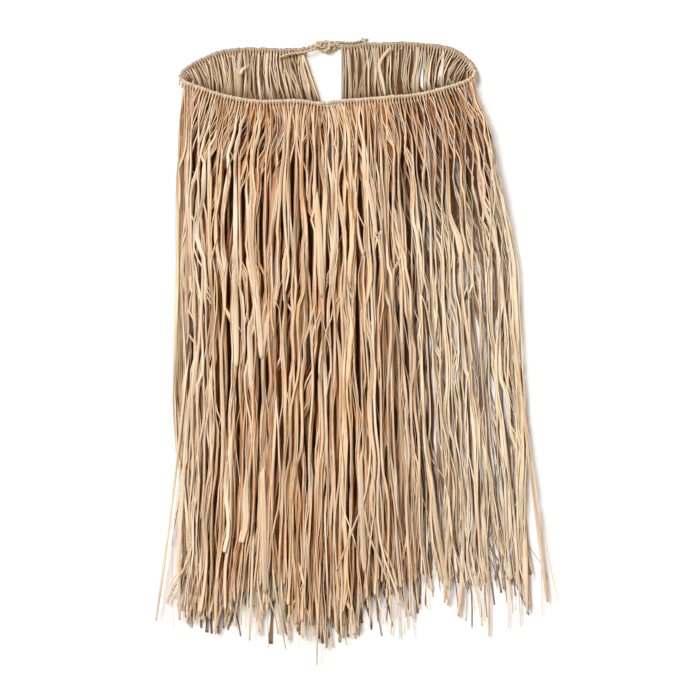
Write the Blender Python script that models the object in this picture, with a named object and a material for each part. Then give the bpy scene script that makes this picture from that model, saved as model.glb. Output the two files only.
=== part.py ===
# Grass skirt: raffia ribbons hitched on a waist cord, laid flat with its front on top.
#
# Metres, +Z up from the surface that the skirt lies on, +Y towards the waist.
# The origin lies on that surface under the middle of the skirt.
#
# The cord runs from the knot at the centre back round the waist and back to the knot.
# The fringe lies in four layers. The two back layers lie on the surface, parted by the
# opening at the knot, and the two front layers lie on them. Each fringe solid is a narrow
# heading strip with its ribbons fused to it, and every ribbon is a flat-based ridge.

import math
import random
from collections import namedtuple

import bmesh
import bpy
from mathutils import Vector

MM = 0.001

# Driving dimensions, in millimetres.
CORD_RADIUS = 2.5
CORD_STEPS = 3                 # tube points for each row of the waist table
CORD_ROUNDNESS = 2             # Blender's bevel resolution of a tube
KNOT_RADIUS = 1.5
KNOT_CENTRE = (-42.3, 397.0, 4.8)
KNOT_REACH = (4.3, 2.3, 3.0)   # how far the knot's curve swings along X, Y and Z
KNOT_STEPS = 36
TAIL_RADIUS = 1.6
TAIL_STEPS = 5
SEAM = 0.3                     # gap between pieces that meet
LAYER_GAP = 0.4                # gap between the layers of fringe
HEADING_WIDTH = 5.0            # width of the strip that carries the ribbons
RIBBON_GAP = 0.8               # least gap between two ribbons of a layer
WIDEST_GAP_SHARE = 0.45        # most of a ribbon's room that one gap beside it takes
SHORTEST_STEP = 12.0           # least distance between two rings of a ribbon
RIDGE_SWING = 0.25             # how far a ridge lies from its ribbon's middle, in widths
RIDGE_KEPT = 0.7               # how much of its place a ridge keeps from ring to ring
ROW_SEARCH_STEPS = 30
ROW_LOOK = 0.05                # how many rows ahead and behind give the cord's direction

# How a fringe is spread. A pair holds the least and the most of a random value.
RIBBON_ROOM = (0.6, 1.5)       # a ribbon's room, beside that of an even spread
SWAY_COUNT = 3
SWAY_REACH = (2.0, 5.0)
SWAY_WAVES = (1.0, 2.6)        # waves from the left end of a wall to its right end
SWAY_DRIFT = (-0.012, 0.012)   # how far a sway turns for each millimetre down, in radians
SWAY_SHARE = 0.6               # how much of its sway a ribbon takes
SWAY_START = 330.0             # where the ribbons start to sway, and how far down
SWAY_FADE = 150.0              # they reach their whole sway
PARTED_SHARE = 0.4             # share of the gaps that open into a parting
PARTING_WIDTH = (3.0, 9.0)
PARTING_MIDDLE = (-260.0, 260.0)
PARTING_HALF_LENGTH = (80.0, 190.0)

# How the ribbons end.
HEM_LOOK_Y = -262.0            # where a ribbon's place along the hem is read
SHORT_SHARE = 0.18             # share of the ribbons that end above the full hem
SHORT_BY = (5.0, 60.0)
HEM_POWER = 1.6                # over 1, more of the tips lie near the full hem
LAYER_STAGGER = 4.0            # how much higher a layer ends than the one over it
TIP_NARROWING = (0.15, 0.55)   # how much of its width a tip loses
TIP_LEAN = 0.8                 # how much of that loss may lie on one side
TIP_SLANT = 4.0
FAR_TIP_WIDTH = 2.0

# The waist cord's centre line, from the knot round the left side, front and right side.
WaistRow = namedtuple("WaistRow", "x y z")
WAIST = [
    WaistRow(-55.9, 397.6, 5.6),
    WaistRow(-71.0, 392.8, 2.8),
    WaistRow(-95.0, 391.6, 2.8),
    WaistRow(-122.0, 392.4, 2.8),
    WaistRow(-150.0, 392.4, 2.8),
    WaistRow(-174.0, 389.6, 2.8),
    WaistRow(-197.0, 381.6, 2.8),
    WaistRow(-217.0, 370.6, 2.8),
    WaistRow(-226.5, 363.0, 4.4),
    WaistRow(-229.6, 355.0, 6.9),
    WaistRow(-224.0, 348.4, 8.6),
    WaistRow(-211.0, 343.8, 8.6),
    WaistRow(-182.0, 333.8, 8.6),
    WaistRow(-152.0, 326.8, 8.6),
    WaistRow(-122.0, 323.7, 8.6),
    WaistRow(-92.0, 324.6, 8.6),
    WaistRow(-70.0, 323.7, 8.6),
    WaistRow(-48.0, 321.2, 8.6),
    WaistRow(-22.0, 324.0, 8.6),
    WaistRow(8.0, 326.4, 8.6),
    WaistRow(41.0, 329.2, 8.6),
    WaistRow(74.0, 331.8, 8.6),
    WaistRow(107.0, 339.2, 8.6),
    WaistRow(140.0, 349.8, 8.6),
    WaistRow(150.5, 357.0, 7.6),
    WaistRow(152.2, 365.4, 5.4),
    WaistRow(145.0, 377.0, 3.4),
    WaistRow(131.0, 388.6, 2.8),
    WaistRow(116.0, 394.4, 2.8),
    WaistRow(91.0, 398.0, 2.8),
    WaistRow(66.0, 400.0, 2.8),
    WaistRow(42.0, 399.4, 2.8),
    WaistRow(18.0, 398.8, 2.8),
    WaistRow(6.0, 398.4, 2.8),
    WaistRow(-10.0, 396.0, 2.8),
    WaistRow(-28.6, 396.8, 3.2),
]

# The free cord ends, each from the knot outwards.
TailRow = namedtuple("TailRow", "x y z")
TAILS = {
    "tie_tail_left": [
        TailRow(-53.2, 392.6, 7.6),
        TailRow(-60.0, 390.6, 8.6),
        TailRow(-70.0, 388.0, 7.9),
        TailRow(-80.0, 386.8, 7.4),
        TailRow(-90.5, 385.0, 7.3),
        TailRow(-100.5, 381.6, 7.2),
    ],
    "tie_tail_right": [
        TailRow(-29.6, 402.2, 4.6),
        TailRow(-22.0, 402.4, 2.6),
        TailRow(-12.0, 401.6, 1.9),
        TailRow(0.0, 402.9, 1.9),
        TailRow(13.0, 406.6, 1.9),
    ],
}

# The laid skirt at sections from the waist down: its left and right edge, how much the front
# fans out towards its right edge, how far the back fringe is tucked in behind the front, the
# two edges of the back opening, and the height that each layer of fringe takes.
Section = namedtuple("Section", "y left right fan tuck slit_left slit_right pitch")
SECTIONS = [
    Section(410.0, -227.0, 152.0, 1.00, 9.0, -68.0, -20.8, 2.9),
    Section(350.0, -227.0, 152.0, 1.00, 9.0, -54.0, -20.8, 2.9),
    Section(300.0, -232.0, 172.0, 1.05, 5.0, -46.0, -20.8, 2.9),
    Section(222.0, -234.0, 186.0, 1.10, 3.0, -38.0, -24.0, 3.8),
    Section(118.0, -236.0, 208.0, 1.15, 3.0, -33.0, -27.0, 4.8),
    Section(-25.0, -238.0, 217.0, 1.17, 3.0, -30.0, -27.0, 5.4),
    Section(-168.0, -242.0, 234.0, 1.19, 3.0, -30.0, -26.0, 4.4),
    Section(-262.0, -250.0, 243.0, 1.20, 3.0, -31.0, -26.0, 3.0),
    Section(-325.0, -257.0, 252.0, 1.20, 3.0, -32.0, -26.0, 2.2),
    Section(-410.0, -261.0, 261.0, 1.20, 3.0, -32.0, -26.0, 1.6),
]

WAIST_Y = SECTIONS[0].y

# Where each wall of the skirt hangs on the cord: where its ribbons start and end, from left
# to right, and the rows of the waist table that it lies between.
Wall = namedtuple("Wall", "left right left_row right_row")
WALLS = {
    "front": Wall(-222.0, 147.0, 10, 24),
    "back_left": Wall(-214.0, -70.0, 8, 0),
    "back_right": Wall(-19.0, 131.0, 35, 26),
}

# The fringe solids: the wall, the layer from the surface up, the share of the wall from its
# left end, the number of ribbons, and the seed of their spread.
TOP_LAYER = 3
Fringe = namedtuple("Fringe", "wall layer start end ribbons seed")
FRINGES = {
    "back_left_lower": Fringe("back_left", 0, 0.0, 1.0, 25, 11),
    "back_right_lower": Fringe("back_right", 0, 0.0, 1.0, 27, 12),
    "back_left_upper": Fringe("back_left", 1, 0.0, 1.0, 24, 13),
    "back_right_upper": Fringe("back_right", 1, 0.0, 1.0, 26, 14),
    "front_lower_left": Fringe("front", 2, 0.0, 0.31, 16, 15),
    "front_lower_middle": Fringe("front", 2, 0.31, 0.69, 20, 16),
    "front_lower_right": Fringe("front", 2, 0.69, 1.0, 17, 17),
    "front_upper_left": Fringe("front", 3, 0.0, 0.3, 17, 18),
    "front_upper_middle": Fringe("front", 3, 0.3, 0.7, 22, 19),
    "front_upper_right": Fringe("front", 3, 0.7, 1.0, 18, 20),
}

# The hem: where most ribbons end and where the longest end, from left to right.
HemRow = namedtuple("HemRow", "x full longest")
HEM = [
    HemRow(-262.0, -250.0, -345.0),
    HemRow(-235.0, -300.0, -352.0),
    HemRow(-205.0, -352.0, -362.0),
    HemRow(-175.0, -335.0, -368.0),
    HemRow(-145.0, -320.0, -380.0),
    HemRow(-128.0, -312.0, -336.0),
    HemRow(-98.0, -306.0, -380.0),
    HemRow(-66.0, -372.0, -384.0),
    HemRow(-48.0, -370.0, -396.0),
    HemRow(-20.0, -348.0, -378.0),
    HemRow(15.0, -345.0, -374.0),
    HemRow(45.0, -368.0, -378.0),
    HemRow(75.0, -360.0, -376.0),
    HemRow(95.0, -300.0, -355.0),
    HemRow(120.0, -304.0, -330.0),
    HemRow(150.0, -306.0, -364.0),
    HemRow(185.0, -310.0, -345.0),
    HemRow(220.0, -304.0, -342.0),
    HemRow(262.0, -290.0, -324.0),
]

# The tips that reach furthest: the fringe, the ribbon's share of it, and the tip's place.
FarTip = namedtuple("FarTip", "fringe share x y")
FAR_TIPS = [
    FarTip("front_upper_left", 0.0, -261.3, -350.0),
    FarTip("front_upper_middle", 0.36, -52.6, -408.2),
    FarTip("front_upper_right", 1.0, 261.3, -326.0),
]

Finish = namedtuple("Finish", "colour roughness")
RAFFIA = Finish((0.62, 0.42, 0.24), 0.6)
RAFFIA_SHADED = Finish((0.50, 0.32, 0.17), 0.65)
CORD = Finish((0.58, 0.39, 0.22), 0.65)


def clear_scene():
    """Remove every object from the scene."""
    for old in list(bpy.data.objects):
        bpy.data.objects.remove(old, do_unlink=True)


def material(name, finish):
    """A Principled material in one plain finish."""
    made = bpy.data.materials.new(name)
    made.use_nodes = True
    shader = made.node_tree.nodes["Principled BSDF"]
    shader.inputs["Base Color"].default_value = (*finish.colour, 1.0)
    shader.inputs["Roughness"].default_value = finish.roughness
    shader.inputs["Metallic"].default_value = 0.0
    return made


def add_object(name, data, finish, parent):
    """Put a mesh or curve in the scene as one named piece of the skirt."""
    piece = bpy.data.objects.new(name, data)
    piece.data.materials.append(material(name + "_finish", finish))
    piece.parent = parent
    bpy.context.scene.collection.objects.link(piece)
    return piece


def spline_point(points, at):
    """The point of the smooth curve through the points at a row number, in millimetres."""
    last = len(points) - 1
    first = min(int(at), last - 1)
    share = at - first
    p1, p2 = Vector(points[first]), Vector(points[first + 1])
    p0 = Vector(points[first - 1]) if first > 0 else p1 + (p1 - p2)
    p3 = Vector(points[first + 2]) if first + 2 <= last else p2 + (p2 - p1)
    reach = (p2 - p1).length
    slope_1 = (p2 - p0) * (reach / ((p2 - p1).length + (p1 - p0).length))
    slope_2 = (p3 - p1) * (reach / ((p3 - p2).length + (p2 - p1).length))
    a = 2 * share**3 - 3 * share**2 + 1
    b = share**3 - 2 * share**2 + share
    c = -2 * share**3 + 3 * share**2
    d = share**3 - share**2
    return p1 * a + slope_1 * b + p2 * c + slope_2 * d


def curve_points(points, steps):
    """Points along the smooth curve, with the given number for each row."""
    count = (len(points) - 1) * steps
    return [spline_point(points, i / steps) for i in range(count + 1)]


def tube(name, points, radius, closed=False):
    """A round tube along the points, with flat ends unless it is a closed loop."""
    data = bpy.data.curves.new(name, "CURVE")
    data.dimensions = "3D"
    data.bevel_depth = radius * MM
    data.bevel_resolution = CORD_ROUNDNESS
    data.use_fill_caps = not closed
    line = data.splines.new("POLY")
    line.points.add(len(points) - 1)
    for spot, point in zip(line.points, points):
        spot.co = (*(Vector(point) * MM), 1.0)
    line.use_cyclic_u = closed
    line.use_smooth = True
    return data


def knot_points():
    """The knot's curve: one strand laid over and under itself in three lobes."""
    centre = Vector(KNOT_CENTRE)
    points = []
    for i in range(KNOT_STEPS):
        turn = 2 * math.pi * i / KNOT_STEPS
        swing = (math.sin(turn) + 2 * math.sin(2 * turn),
                 math.cos(turn) - 2 * math.cos(2 * turn),
                 -math.sin(3 * turn))
        points.append(centre + Vector(s * r for s, r in zip(swing, KNOT_REACH)))
    return points


def between(rows, key, at, field):
    """A column's value between two rows of a table that is sorted by its key column."""
    ordered = sorted(rows, key=lambda row: getattr(row, key))
    at = min(max(at, getattr(ordered[0], key)), getattr(ordered[-1], key))
    for low, high in zip(ordered, ordered[1:]):
        start, end = getattr(low, key), getattr(high, key)
        if at <= end:
            share = (at - start) / (end - start)
            return getattr(low, field) + share * (getattr(high, field) - getattr(low, field))
    return getattr(ordered[-1], field)


def section(y, field):
    """A value of the laid skirt at one distance from the waist."""
    return between(SECTIONS, "y", y, field)


def wall_place(wall, share, y):
    """Where a share of a wall of fringe, from its left end, lies at one section."""
    left, right = section(y, "left"), section(y, "right")
    tuck = section(y, "tuck")
    if wall == "front":
        share **= section(y, "fan")
    if wall == "back_left":
        left, right = left + tuck, section(y, "slit_left")
    if wall == "back_right":
        left, right = section(y, "slit_right"), right - tuck
    return left + (right - left) * share


def layer_heights(layer, y):
    """The underside and the top of a layer of fringe at one section."""
    pitch = section(y, "pitch")
    return layer * pitch, (layer + 1) * pitch - LAYER_GAP


def waist_row(wall, x):
    """The row number at which a wall's stretch of the cord passes x."""
    low, high = wall.left_row, wall.right_row
    for _ in range(ROW_SEARCH_STEPS):
        middle = (low + high) / 2
        if spline_point(WAIST, middle).x < x:
            low = middle
        else:
            high = middle
    return (low + high) / 2


def heading_point(fringe, share, offset, shift):
    """A point beside the cord, at a share of the fringe and an offset towards the hem."""
    wall = WALLS[fringe.wall]
    of_wall = fringe.start + (fringe.end - fringe.start) * share
    at = waist_row(wall, wall.left + (wall.right - wall.left) * of_wall)
    ahead = spline_point(WAIST, at + ROW_LOOK)
    behind = spline_point(WAIST, at - ROW_LOOK)
    along = Vector((ahead.x - behind.x, ahead.y - behind.y))
    along.normalize()
    if along.x < 0:
        along.negate()
    hemward = Vector((along.y, -along.x))
    spot = spline_point(WAIST, at)
    return Vector((spot.x, spot.y)) + hemward * offset + along * shift


class Spread:
    """How the ribbons of one fringe share its room: uneven widths, sways and partings."""

    def __init__(self, fringe):
        self.fringe = fringe
        self.dice = dice = random.Random(fringe.seed)
        rooms = [dice.uniform(*RIBBON_ROOM) for _ in range(fringe.ribbons)]
        total = sum(rooms)
        self.shares = [sum(rooms[:i]) / total for i in range(fringe.ribbons + 1)]
        self.sways = [(dice.uniform(*SWAY_REACH), dice.uniform(*SWAY_WAVES),
                       dice.uniform(*SWAY_DRIFT), dice.uniform(0, 2 * math.pi))
                      for _ in range(SWAY_COUNT)]
        self.partings = [self.parting() for _ in self.shares]

    def parting(self):
        """One gap between two ribbons: its middle, half length and width."""
        dice = self.dice
        width = dice.uniform(*PARTING_WIDTH) if dice.random() < PARTED_SHARE else 0.0
        return dice.uniform(*PARTING_MIDDLE), dice.uniform(*PARTING_HALF_LENGTH), width

    def edge(self, i, y):
        """Where the line between ribbon i - 1 and ribbon i lies at one section."""
        fringe = self.fringe
        share = fringe.start + (fringe.end - fringe.start) * self.shares[i]
        sway = sum(reach * math.sin(2 * math.pi * waves * share + drift * y + phase)
                   for reach, waves, drift, phase in self.sways)
        held = 4 * share * (1 - share) * min(1.0, (SWAY_START - y) / SWAY_FADE)
        if fringe.start > 0 and i == 0 or fringe.end < 1 and i == fringe.ribbons:
            held = 0.0
        elif fringe.start > 0 or fringe.end < 1:
            held *= math.sin(math.pi * self.shares[i])
        return wall_place(fringe.wall, share, y) + sway * max(held, 0.0) * SWAY_SHARE

    def gap(self, i, y):
        """Half the gap at that line."""
        middle, half_length, width = self.partings[i]
        nearness = max(0.0, 1 - abs(y - middle) / half_length)
        return (RIBBON_GAP + width * nearness * nearness * (3 - 2 * nearness)) / 2

    def ribbon(self, i, y):
        """The left and right edge of ribbon i at one section."""
        left, right = self.edge(i, y), self.edge(i + 1, y)
        most = WIDEST_GAP_SHARE * (right - left)
        return left + min(self.gap(i, y), most), right - min(self.gap(i + 1, y), most)


def tip_height(dice, x, layer):
    """Where a ribbon that hangs at x ends."""
    full = between(HEM, "x", x, "full")
    longest = between(HEM, "x", x, "longest")
    if dice.random() < SHORT_SHARE:
        return full + dice.uniform(*SHORT_BY)
    stagger = LAYER_STAGGER * (TOP_LAYER - layer)
    return full + (longest - full) * dice.random() ** HEM_POWER + stagger


def ring_levels(root_y, tip_y):
    """The sections where a ribbon between its root and tip has a ring of points."""
    return [row.y for row in SECTIONS
            if tip_y + SHORTEST_STEP < row.y < root_y - SHORTEST_STEP / 2]


def far_tip(name, i, ribbons):
    """The far tip that ribbon i of a fringe has, if it has one."""
    for tip in FAR_TIPS:
        if tip.fringe == name and round(tip.share * (ribbons - 1)) == i:
            return tip
    return None


def ribbon_ring(shape, left, right, y_left, y_right, layer, ridge):
    """Three corners of a ribbon at one section: its two edges and its ridge."""
    middle = (y_left + y_right) / 2
    under, top = layer_heights(layer, middle)
    crest = left + (right - left) * (0.5 + ridge)
    return [shape.verts.new(Vector((left, y_left, under)) * MM),
            shape.verts.new(Vector((right, y_right, under)) * MM),
            shape.verts.new(Vector((crest, middle, top)) * MM)]


def add_ribbon(shape, root, spread, i, name):
    """Grow ribbon i from its root on the heading strip down to its tip."""
    fringe = spread.fringe
    dice = spread.dice
    root_y = min(corner.co.y for corner in root) / MM
    left, right = spread.ribbon(i, HEM_LOOK_Y)
    end = far_tip(name, i, fringe.ribbons)
    tip_y = end.y if end else tip_height(dice, (left + right) / 2, fringe.layer)
    ridge = dice.uniform(-RIDGE_SWING, RIDGE_SWING)
    ring = None
    for y in ring_levels(root_y, tip_y):
        left, right = spread.ribbon(i, y)
        new = ribbon_ring(shape, left, right, y, y, fringe.layer, ridge)
        if ring is None:
            lower_left, lower_right, upper_right, upper_left = root
            shape.faces.new((lower_left, lower_right, new[1], new[0]))
            shape.faces.new((lower_right, upper_right, new[2], new[1]))
            shape.faces.new((upper_left, lower_left, new[0], new[2]))
            shape.faces.new((upper_right, upper_left, new[2]))
        else:
            close_ring(shape, ring, new)
        ring = new
        ridge += (1 - RIDGE_KEPT) * (dice.uniform(-RIDGE_SWING, RIDGE_SWING) - ridge)
    left, right = spread.ribbon(i, tip_y)
    narrow = dice.uniform(*TIP_NARROWING) * (right - left) / 2
    lean = dice.uniform(-TIP_LEAN, TIP_LEAN) * narrow
    slant = dice.uniform(-TIP_SLANT, TIP_SLANT)
    tip_left, tip_right = left + narrow + lean, right - narrow + lean
    if end:
        tip_left, tip_right = sorted((end.x, end.x - math.copysign(FAR_TIP_WIDTH, end.x)))
        slant = 0.0
    new = ribbon_ring(shape, tip_left, tip_right, tip_y + abs(slant) + slant,
                      tip_y + abs(slant) - slant, fringe.layer, 0.0)
    close_ring(shape, ring, new)
    shape.faces.new((new[0], new[1], new[2]))


def close_ring(shape, ring, new):
    """Join two rings of a ribbon with its three sides."""
    for k in range(3):
        after = (k + 1) % 3
        shape.faces.new((ring[k], ring[after], new[after], new[k]))


def heading_corners(shape, fringe, share, shift):
    """The strip's four corners at one place: outer and inner edge, under and top."""
    inner = CORD_RADIUS + SEAM
    outer = inner + HEADING_WIDTH
    corners = []
    for offset, side in ((outer, 0), (outer, 1), (inner, 1), (inner, 0)):
        spot = heading_point(fringe, share, offset, shift)
        height = layer_heights(fringe.layer, WAIST_Y)[side]
        corners.append(shape.verts.new(Vector((spot.x, spot.y, height)) * MM))
    return corners


def fringe_mesh(name, fringe):
    """One heading strip with all its ribbons, as one closed body."""
    spread = Spread(fringe)
    shape = bmesh.new()
    stations = []
    for i, share in enumerate(spread.shares):
        shift = SEAM if i == 0 else -SEAM if i == fringe.ribbons else 0.0
        stations.append(heading_corners(shape, fringe, share, shift / 2))
    shape.faces.new(stations[0])
    shape.faces.new(stations[-1])
    for i, (here, there) in enumerate(zip(stations, stations[1:])):
        for k in (1, 2, 3):
            after = (k + 1) % 4
            shape.faces.new((here[k], here[after], there[after], there[k]))
        root = (here[0], there[0], there[1], here[1])
        add_ribbon(shape, root, spread, i, name)
    bmesh.ops.recalc_face_normals(shape, faces=shape.faces)
    data = bpy.data.meshes.new(name)
    shape.to_mesh(data)
    shape.free()
    return data


def build():
    """Make every piece of the skirt."""
    clear_scene()
    skirt = bpy.data.objects.new("grass_skirt", None)
    bpy.context.scene.collection.objects.link(skirt)
    add_object("waist_cord", tube("waist_cord", curve_points(WAIST, CORD_STEPS),
                                  CORD_RADIUS), CORD, skirt)
    add_object("back_knot", tube("back_knot", knot_points(), KNOT_RADIUS, closed=True),
               CORD, skirt)
    for name, route in TAILS.items():
        add_object(name, tube(name, curve_points(route, TAIL_STEPS), TAIL_RADIUS),
                   CORD, skirt)
    for name, fringe in FRINGES.items():
        finish = RAFFIA_SHADED if fringe.wall != "front" else RAFFIA
        add_object(name, fringe_mesh(name, fringe), finish, skirt)


build()
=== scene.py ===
# Looks of the grass skirt: raffia ribbons, hitches, twisted waist cord, knot and cord ends.
import math
import random
from collections import namedtuple

import bpy
import numpy as np
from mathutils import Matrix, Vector


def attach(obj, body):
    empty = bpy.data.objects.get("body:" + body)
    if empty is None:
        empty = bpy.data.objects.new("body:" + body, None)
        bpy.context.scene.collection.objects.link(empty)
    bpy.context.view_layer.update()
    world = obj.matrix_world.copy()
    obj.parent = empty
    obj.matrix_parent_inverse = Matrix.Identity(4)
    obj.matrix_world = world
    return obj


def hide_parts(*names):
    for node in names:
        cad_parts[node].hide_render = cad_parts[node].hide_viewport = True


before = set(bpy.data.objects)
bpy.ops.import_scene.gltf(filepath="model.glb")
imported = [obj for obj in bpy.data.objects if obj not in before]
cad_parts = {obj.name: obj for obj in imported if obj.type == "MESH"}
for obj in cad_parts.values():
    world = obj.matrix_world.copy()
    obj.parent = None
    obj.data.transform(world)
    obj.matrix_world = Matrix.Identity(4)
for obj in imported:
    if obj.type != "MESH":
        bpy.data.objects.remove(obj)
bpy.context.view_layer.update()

MM = 0.001

# The camera looks straight down, with the waist at the top of the picture.
PHOTO_PIXEL = 1.3                      # millimetres of the skirt for each pixel
PICTURE_SIZE = 700
VIEW_CENTRE = (-9.75, 1.3)
VIEW_HEIGHT = 5.0                     # the height in the skirt that the scale holds for
LENS = 85.0
SENSOR = 36.0

# Sizes of the cord and its hitches, in millimetres.
CORD_RADIUS = 2.5
PLY_TURN = 13.0                        # length of one turn of the cord's two plies
PLY_SIDES = 8
HITCH_PITCH = 3.9
TAIL_RADIUS = 1.6
KNOT_CENTRE = (-42.3, 397.0, 4.8)
KNOT_REACH = (4.3, 2.3, 3.0)
KNOT_RADIUS = 1.5

# The waist cord's centre line, from the knot round the left side, front and right side.
WaistRow = namedtuple("WaistRow", "x y z")
WAIST = [
    WaistRow(-55.9, 397.6, 5.6),
    WaistRow(-71.0, 392.8, 2.8),
    WaistRow(-95.0, 391.6, 2.8),
    WaistRow(-122.0, 392.4, 2.8),
    WaistRow(-150.0, 392.4, 2.8),
    WaistRow(-174.0, 389.6, 2.8),
    WaistRow(-197.0, 381.6, 2.8),
    WaistRow(-217.0, 370.6, 2.8),
    WaistRow(-226.5, 363.0, 4.4),
    WaistRow(-229.6, 355.0, 6.9),
    WaistRow(-224.0, 348.4, 8.6),
    WaistRow(-211.0, 343.8, 8.6),
    WaistRow(-182.0, 333.8, 8.6),
    WaistRow(-152.0, 326.8, 8.6),
    WaistRow(-122.0, 323.7, 8.6),
    WaistRow(-92.0, 324.6, 8.6),
    WaistRow(-70.0, 323.7, 8.6),
    WaistRow(-48.0, 321.2, 8.6),
    WaistRow(-22.0, 324.0, 8.6),
    WaistRow(8.0, 326.4, 8.6),
    WaistRow(41.0, 329.2, 8.6),
    WaistRow(74.0, 331.8, 8.6),
    WaistRow(107.0, 339.2, 8.6),
    WaistRow(140.0, 349.8, 8.6),
    WaistRow(150.5, 357.0, 7.6),
    WaistRow(152.2, 365.4, 5.4),
    WaistRow(145.0, 377.0, 3.4),
    WaistRow(131.0, 388.6, 2.8),
    WaistRow(116.0, 394.4, 2.8),
    WaistRow(91.0, 398.0, 2.8),
    WaistRow(66.0, 400.0, 2.8),
    WaistRow(42.0, 399.4, 2.8),
    WaistRow(18.0, 398.8, 2.8),
    WaistRow(6.0, 398.4, 2.8),
    WaistRow(-10.0, 396.0, 2.8),
    WaistRow(-28.6, 396.8, 3.2),
]
HITCHED_ROWS = (0.9, 34.55)             # the rows between which hitches cover the cord

# The free cord ends, each from the knot outwards.
TailRow = namedtuple("TailRow", "x y z")
TAILS = {
    "tie_tail_left": [
        TailRow(-53.2, 392.6, 7.6),
        TailRow(-60.0, 390.6, 8.6),
        TailRow(-70.0, 388.0, 7.9),
        TailRow(-80.0, 386.8, 7.4),
        TailRow(-90.5, 385.0, 7.3),
        TailRow(-100.5, 381.6, 7.2),
    ],
    "tie_tail_right": [
        TailRow(-29.6, 402.2, 4.6),
        TailRow(-22.0, 402.4, 2.6),
        TailRow(-12.0, 401.6, 1.9),
        TailRow(0.0, 402.9, 1.9),
        TailRow(13.0, 406.6, 1.9),
    ],
}

# The laid skirt at sections from the waist down, as in the solids.
Section = namedtuple("Section", "y left right fan tuck slit_left slit_right")
SECTIONS = [
    Section(410.0, -227.0, 152.0, 1.00, 9.0, -68.0, -20.8),
    Section(350.0, -227.0, 152.0, 1.00, 9.0, -54.0, -20.8),
    Section(300.0, -232.0, 172.0, 1.05, 5.0, -46.0, -20.8),
    Section(222.0, -234.0, 186.0, 1.10, 3.0, -38.0, -24.0),
    Section(118.0, -236.0, 208.0, 1.15, 3.0, -33.0, -27.0),
    Section(-25.0, -238.0, 217.0, 1.17, 3.0, -30.0, -27.0),
    Section(-168.0, -242.0, 234.0, 1.19, 3.0, -30.0, -26.0),
    Section(-262.0, -250.0, 243.0, 1.20, 3.0, -31.0, -26.0),
    Section(-325.0, -257.0, 252.0, 1.20, 3.0, -32.0, -26.0),
    Section(-410.0, -261.0, 261.0, 1.20, 3.0, -32.0, -26.0),
]

# The rows of the waist cord that carry each wall of fringe, from the wall's left end.
WALLS = {"front": (8.9, 25.0), "back_left": (8.9, 0.9), "back_right": (34.56, 25.0)}

# The solids' fringes, and how many fine ribbons each of them stands for.
Fringe = namedtuple("Fringe", "wall layer start end locks seed ribbons thinning")
FRINGES = {
    "back_left_lower": Fringe("back_left", 0, 0.0, 1.0, 25, 11, 110, 0.9),
    "back_right_lower": Fringe("back_right", 0, 0.0, 1.0, 27, 12, 82, 1.15),
    "back_left_upper": Fringe("back_left", 1, 0.0, 1.0, 24, 13, 140, 0.95),
    "back_right_upper": Fringe("back_right", 1, 0.0, 1.0, 26, 14, 110, 1.2),
    "front_lower_left": Fringe("front", 2, 0.0, 0.31, 16, 15, 120, 1.0),
    "front_lower_middle": Fringe("front", 2, 0.31, 0.69, 20, 16, 155, 1.0),
    "front_lower_right": Fringe("front", 2, 0.69, 1.0, 17, 17, 40, 1.3),
    "front_upper_left": Fringe("front", 3, 0.0, 0.3, 17, 18, 150, 1.0),
    "front_upper_middle": Fringe("front", 3, 0.3, 0.7, 22, 19, 200, 1.0),
    "front_upper_right": Fringe("front", 3, 0.7, 1.0, 18, 20, 84, 1.2),
}

HemRow = namedtuple("HemRow", "x full longest")
HEM = [
    HemRow(-262.0, -250.0, -340.0),
    HemRow(-235.0, -310.0, -352.0),
    HemRow(-212.0, -340.0, -360.0),
    HemRow(-182.0, -346.0, -370.0),
    HemRow(-160.0, -318.0, -372.0),
    HemRow(-145.0, -312.0, -375.0),
    HemRow(-120.0, -306.0, -366.0),
    HemRow(-94.0, -304.0, -380.0),
    HemRow(-76.0, -352.0, -384.0),
    HemRow(-52.0, -364.0, -390.0),
    HemRow(-30.0, -346.0, -380.0),
    HemRow(-5.0, -338.0, -374.0),
    HemRow(18.0, -318.0, -370.0),
    HemRow(40.0, -308.0, -374.0),
    HemRow(66.0, -304.0, -378.0),
    HemRow(80.0, -300.0, -360.0),
    HemRow(100.0, -298.0, -330.0),
    HemRow(122.0, -300.0, -334.0),
    HemRow(150.0, -306.0, -366.0),
    HemRow(185.0, -314.0, -352.0),
    HemRow(220.0, -300.0, -340.0),
    HemRow(262.0, -290.0, -324.0),
]

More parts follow.
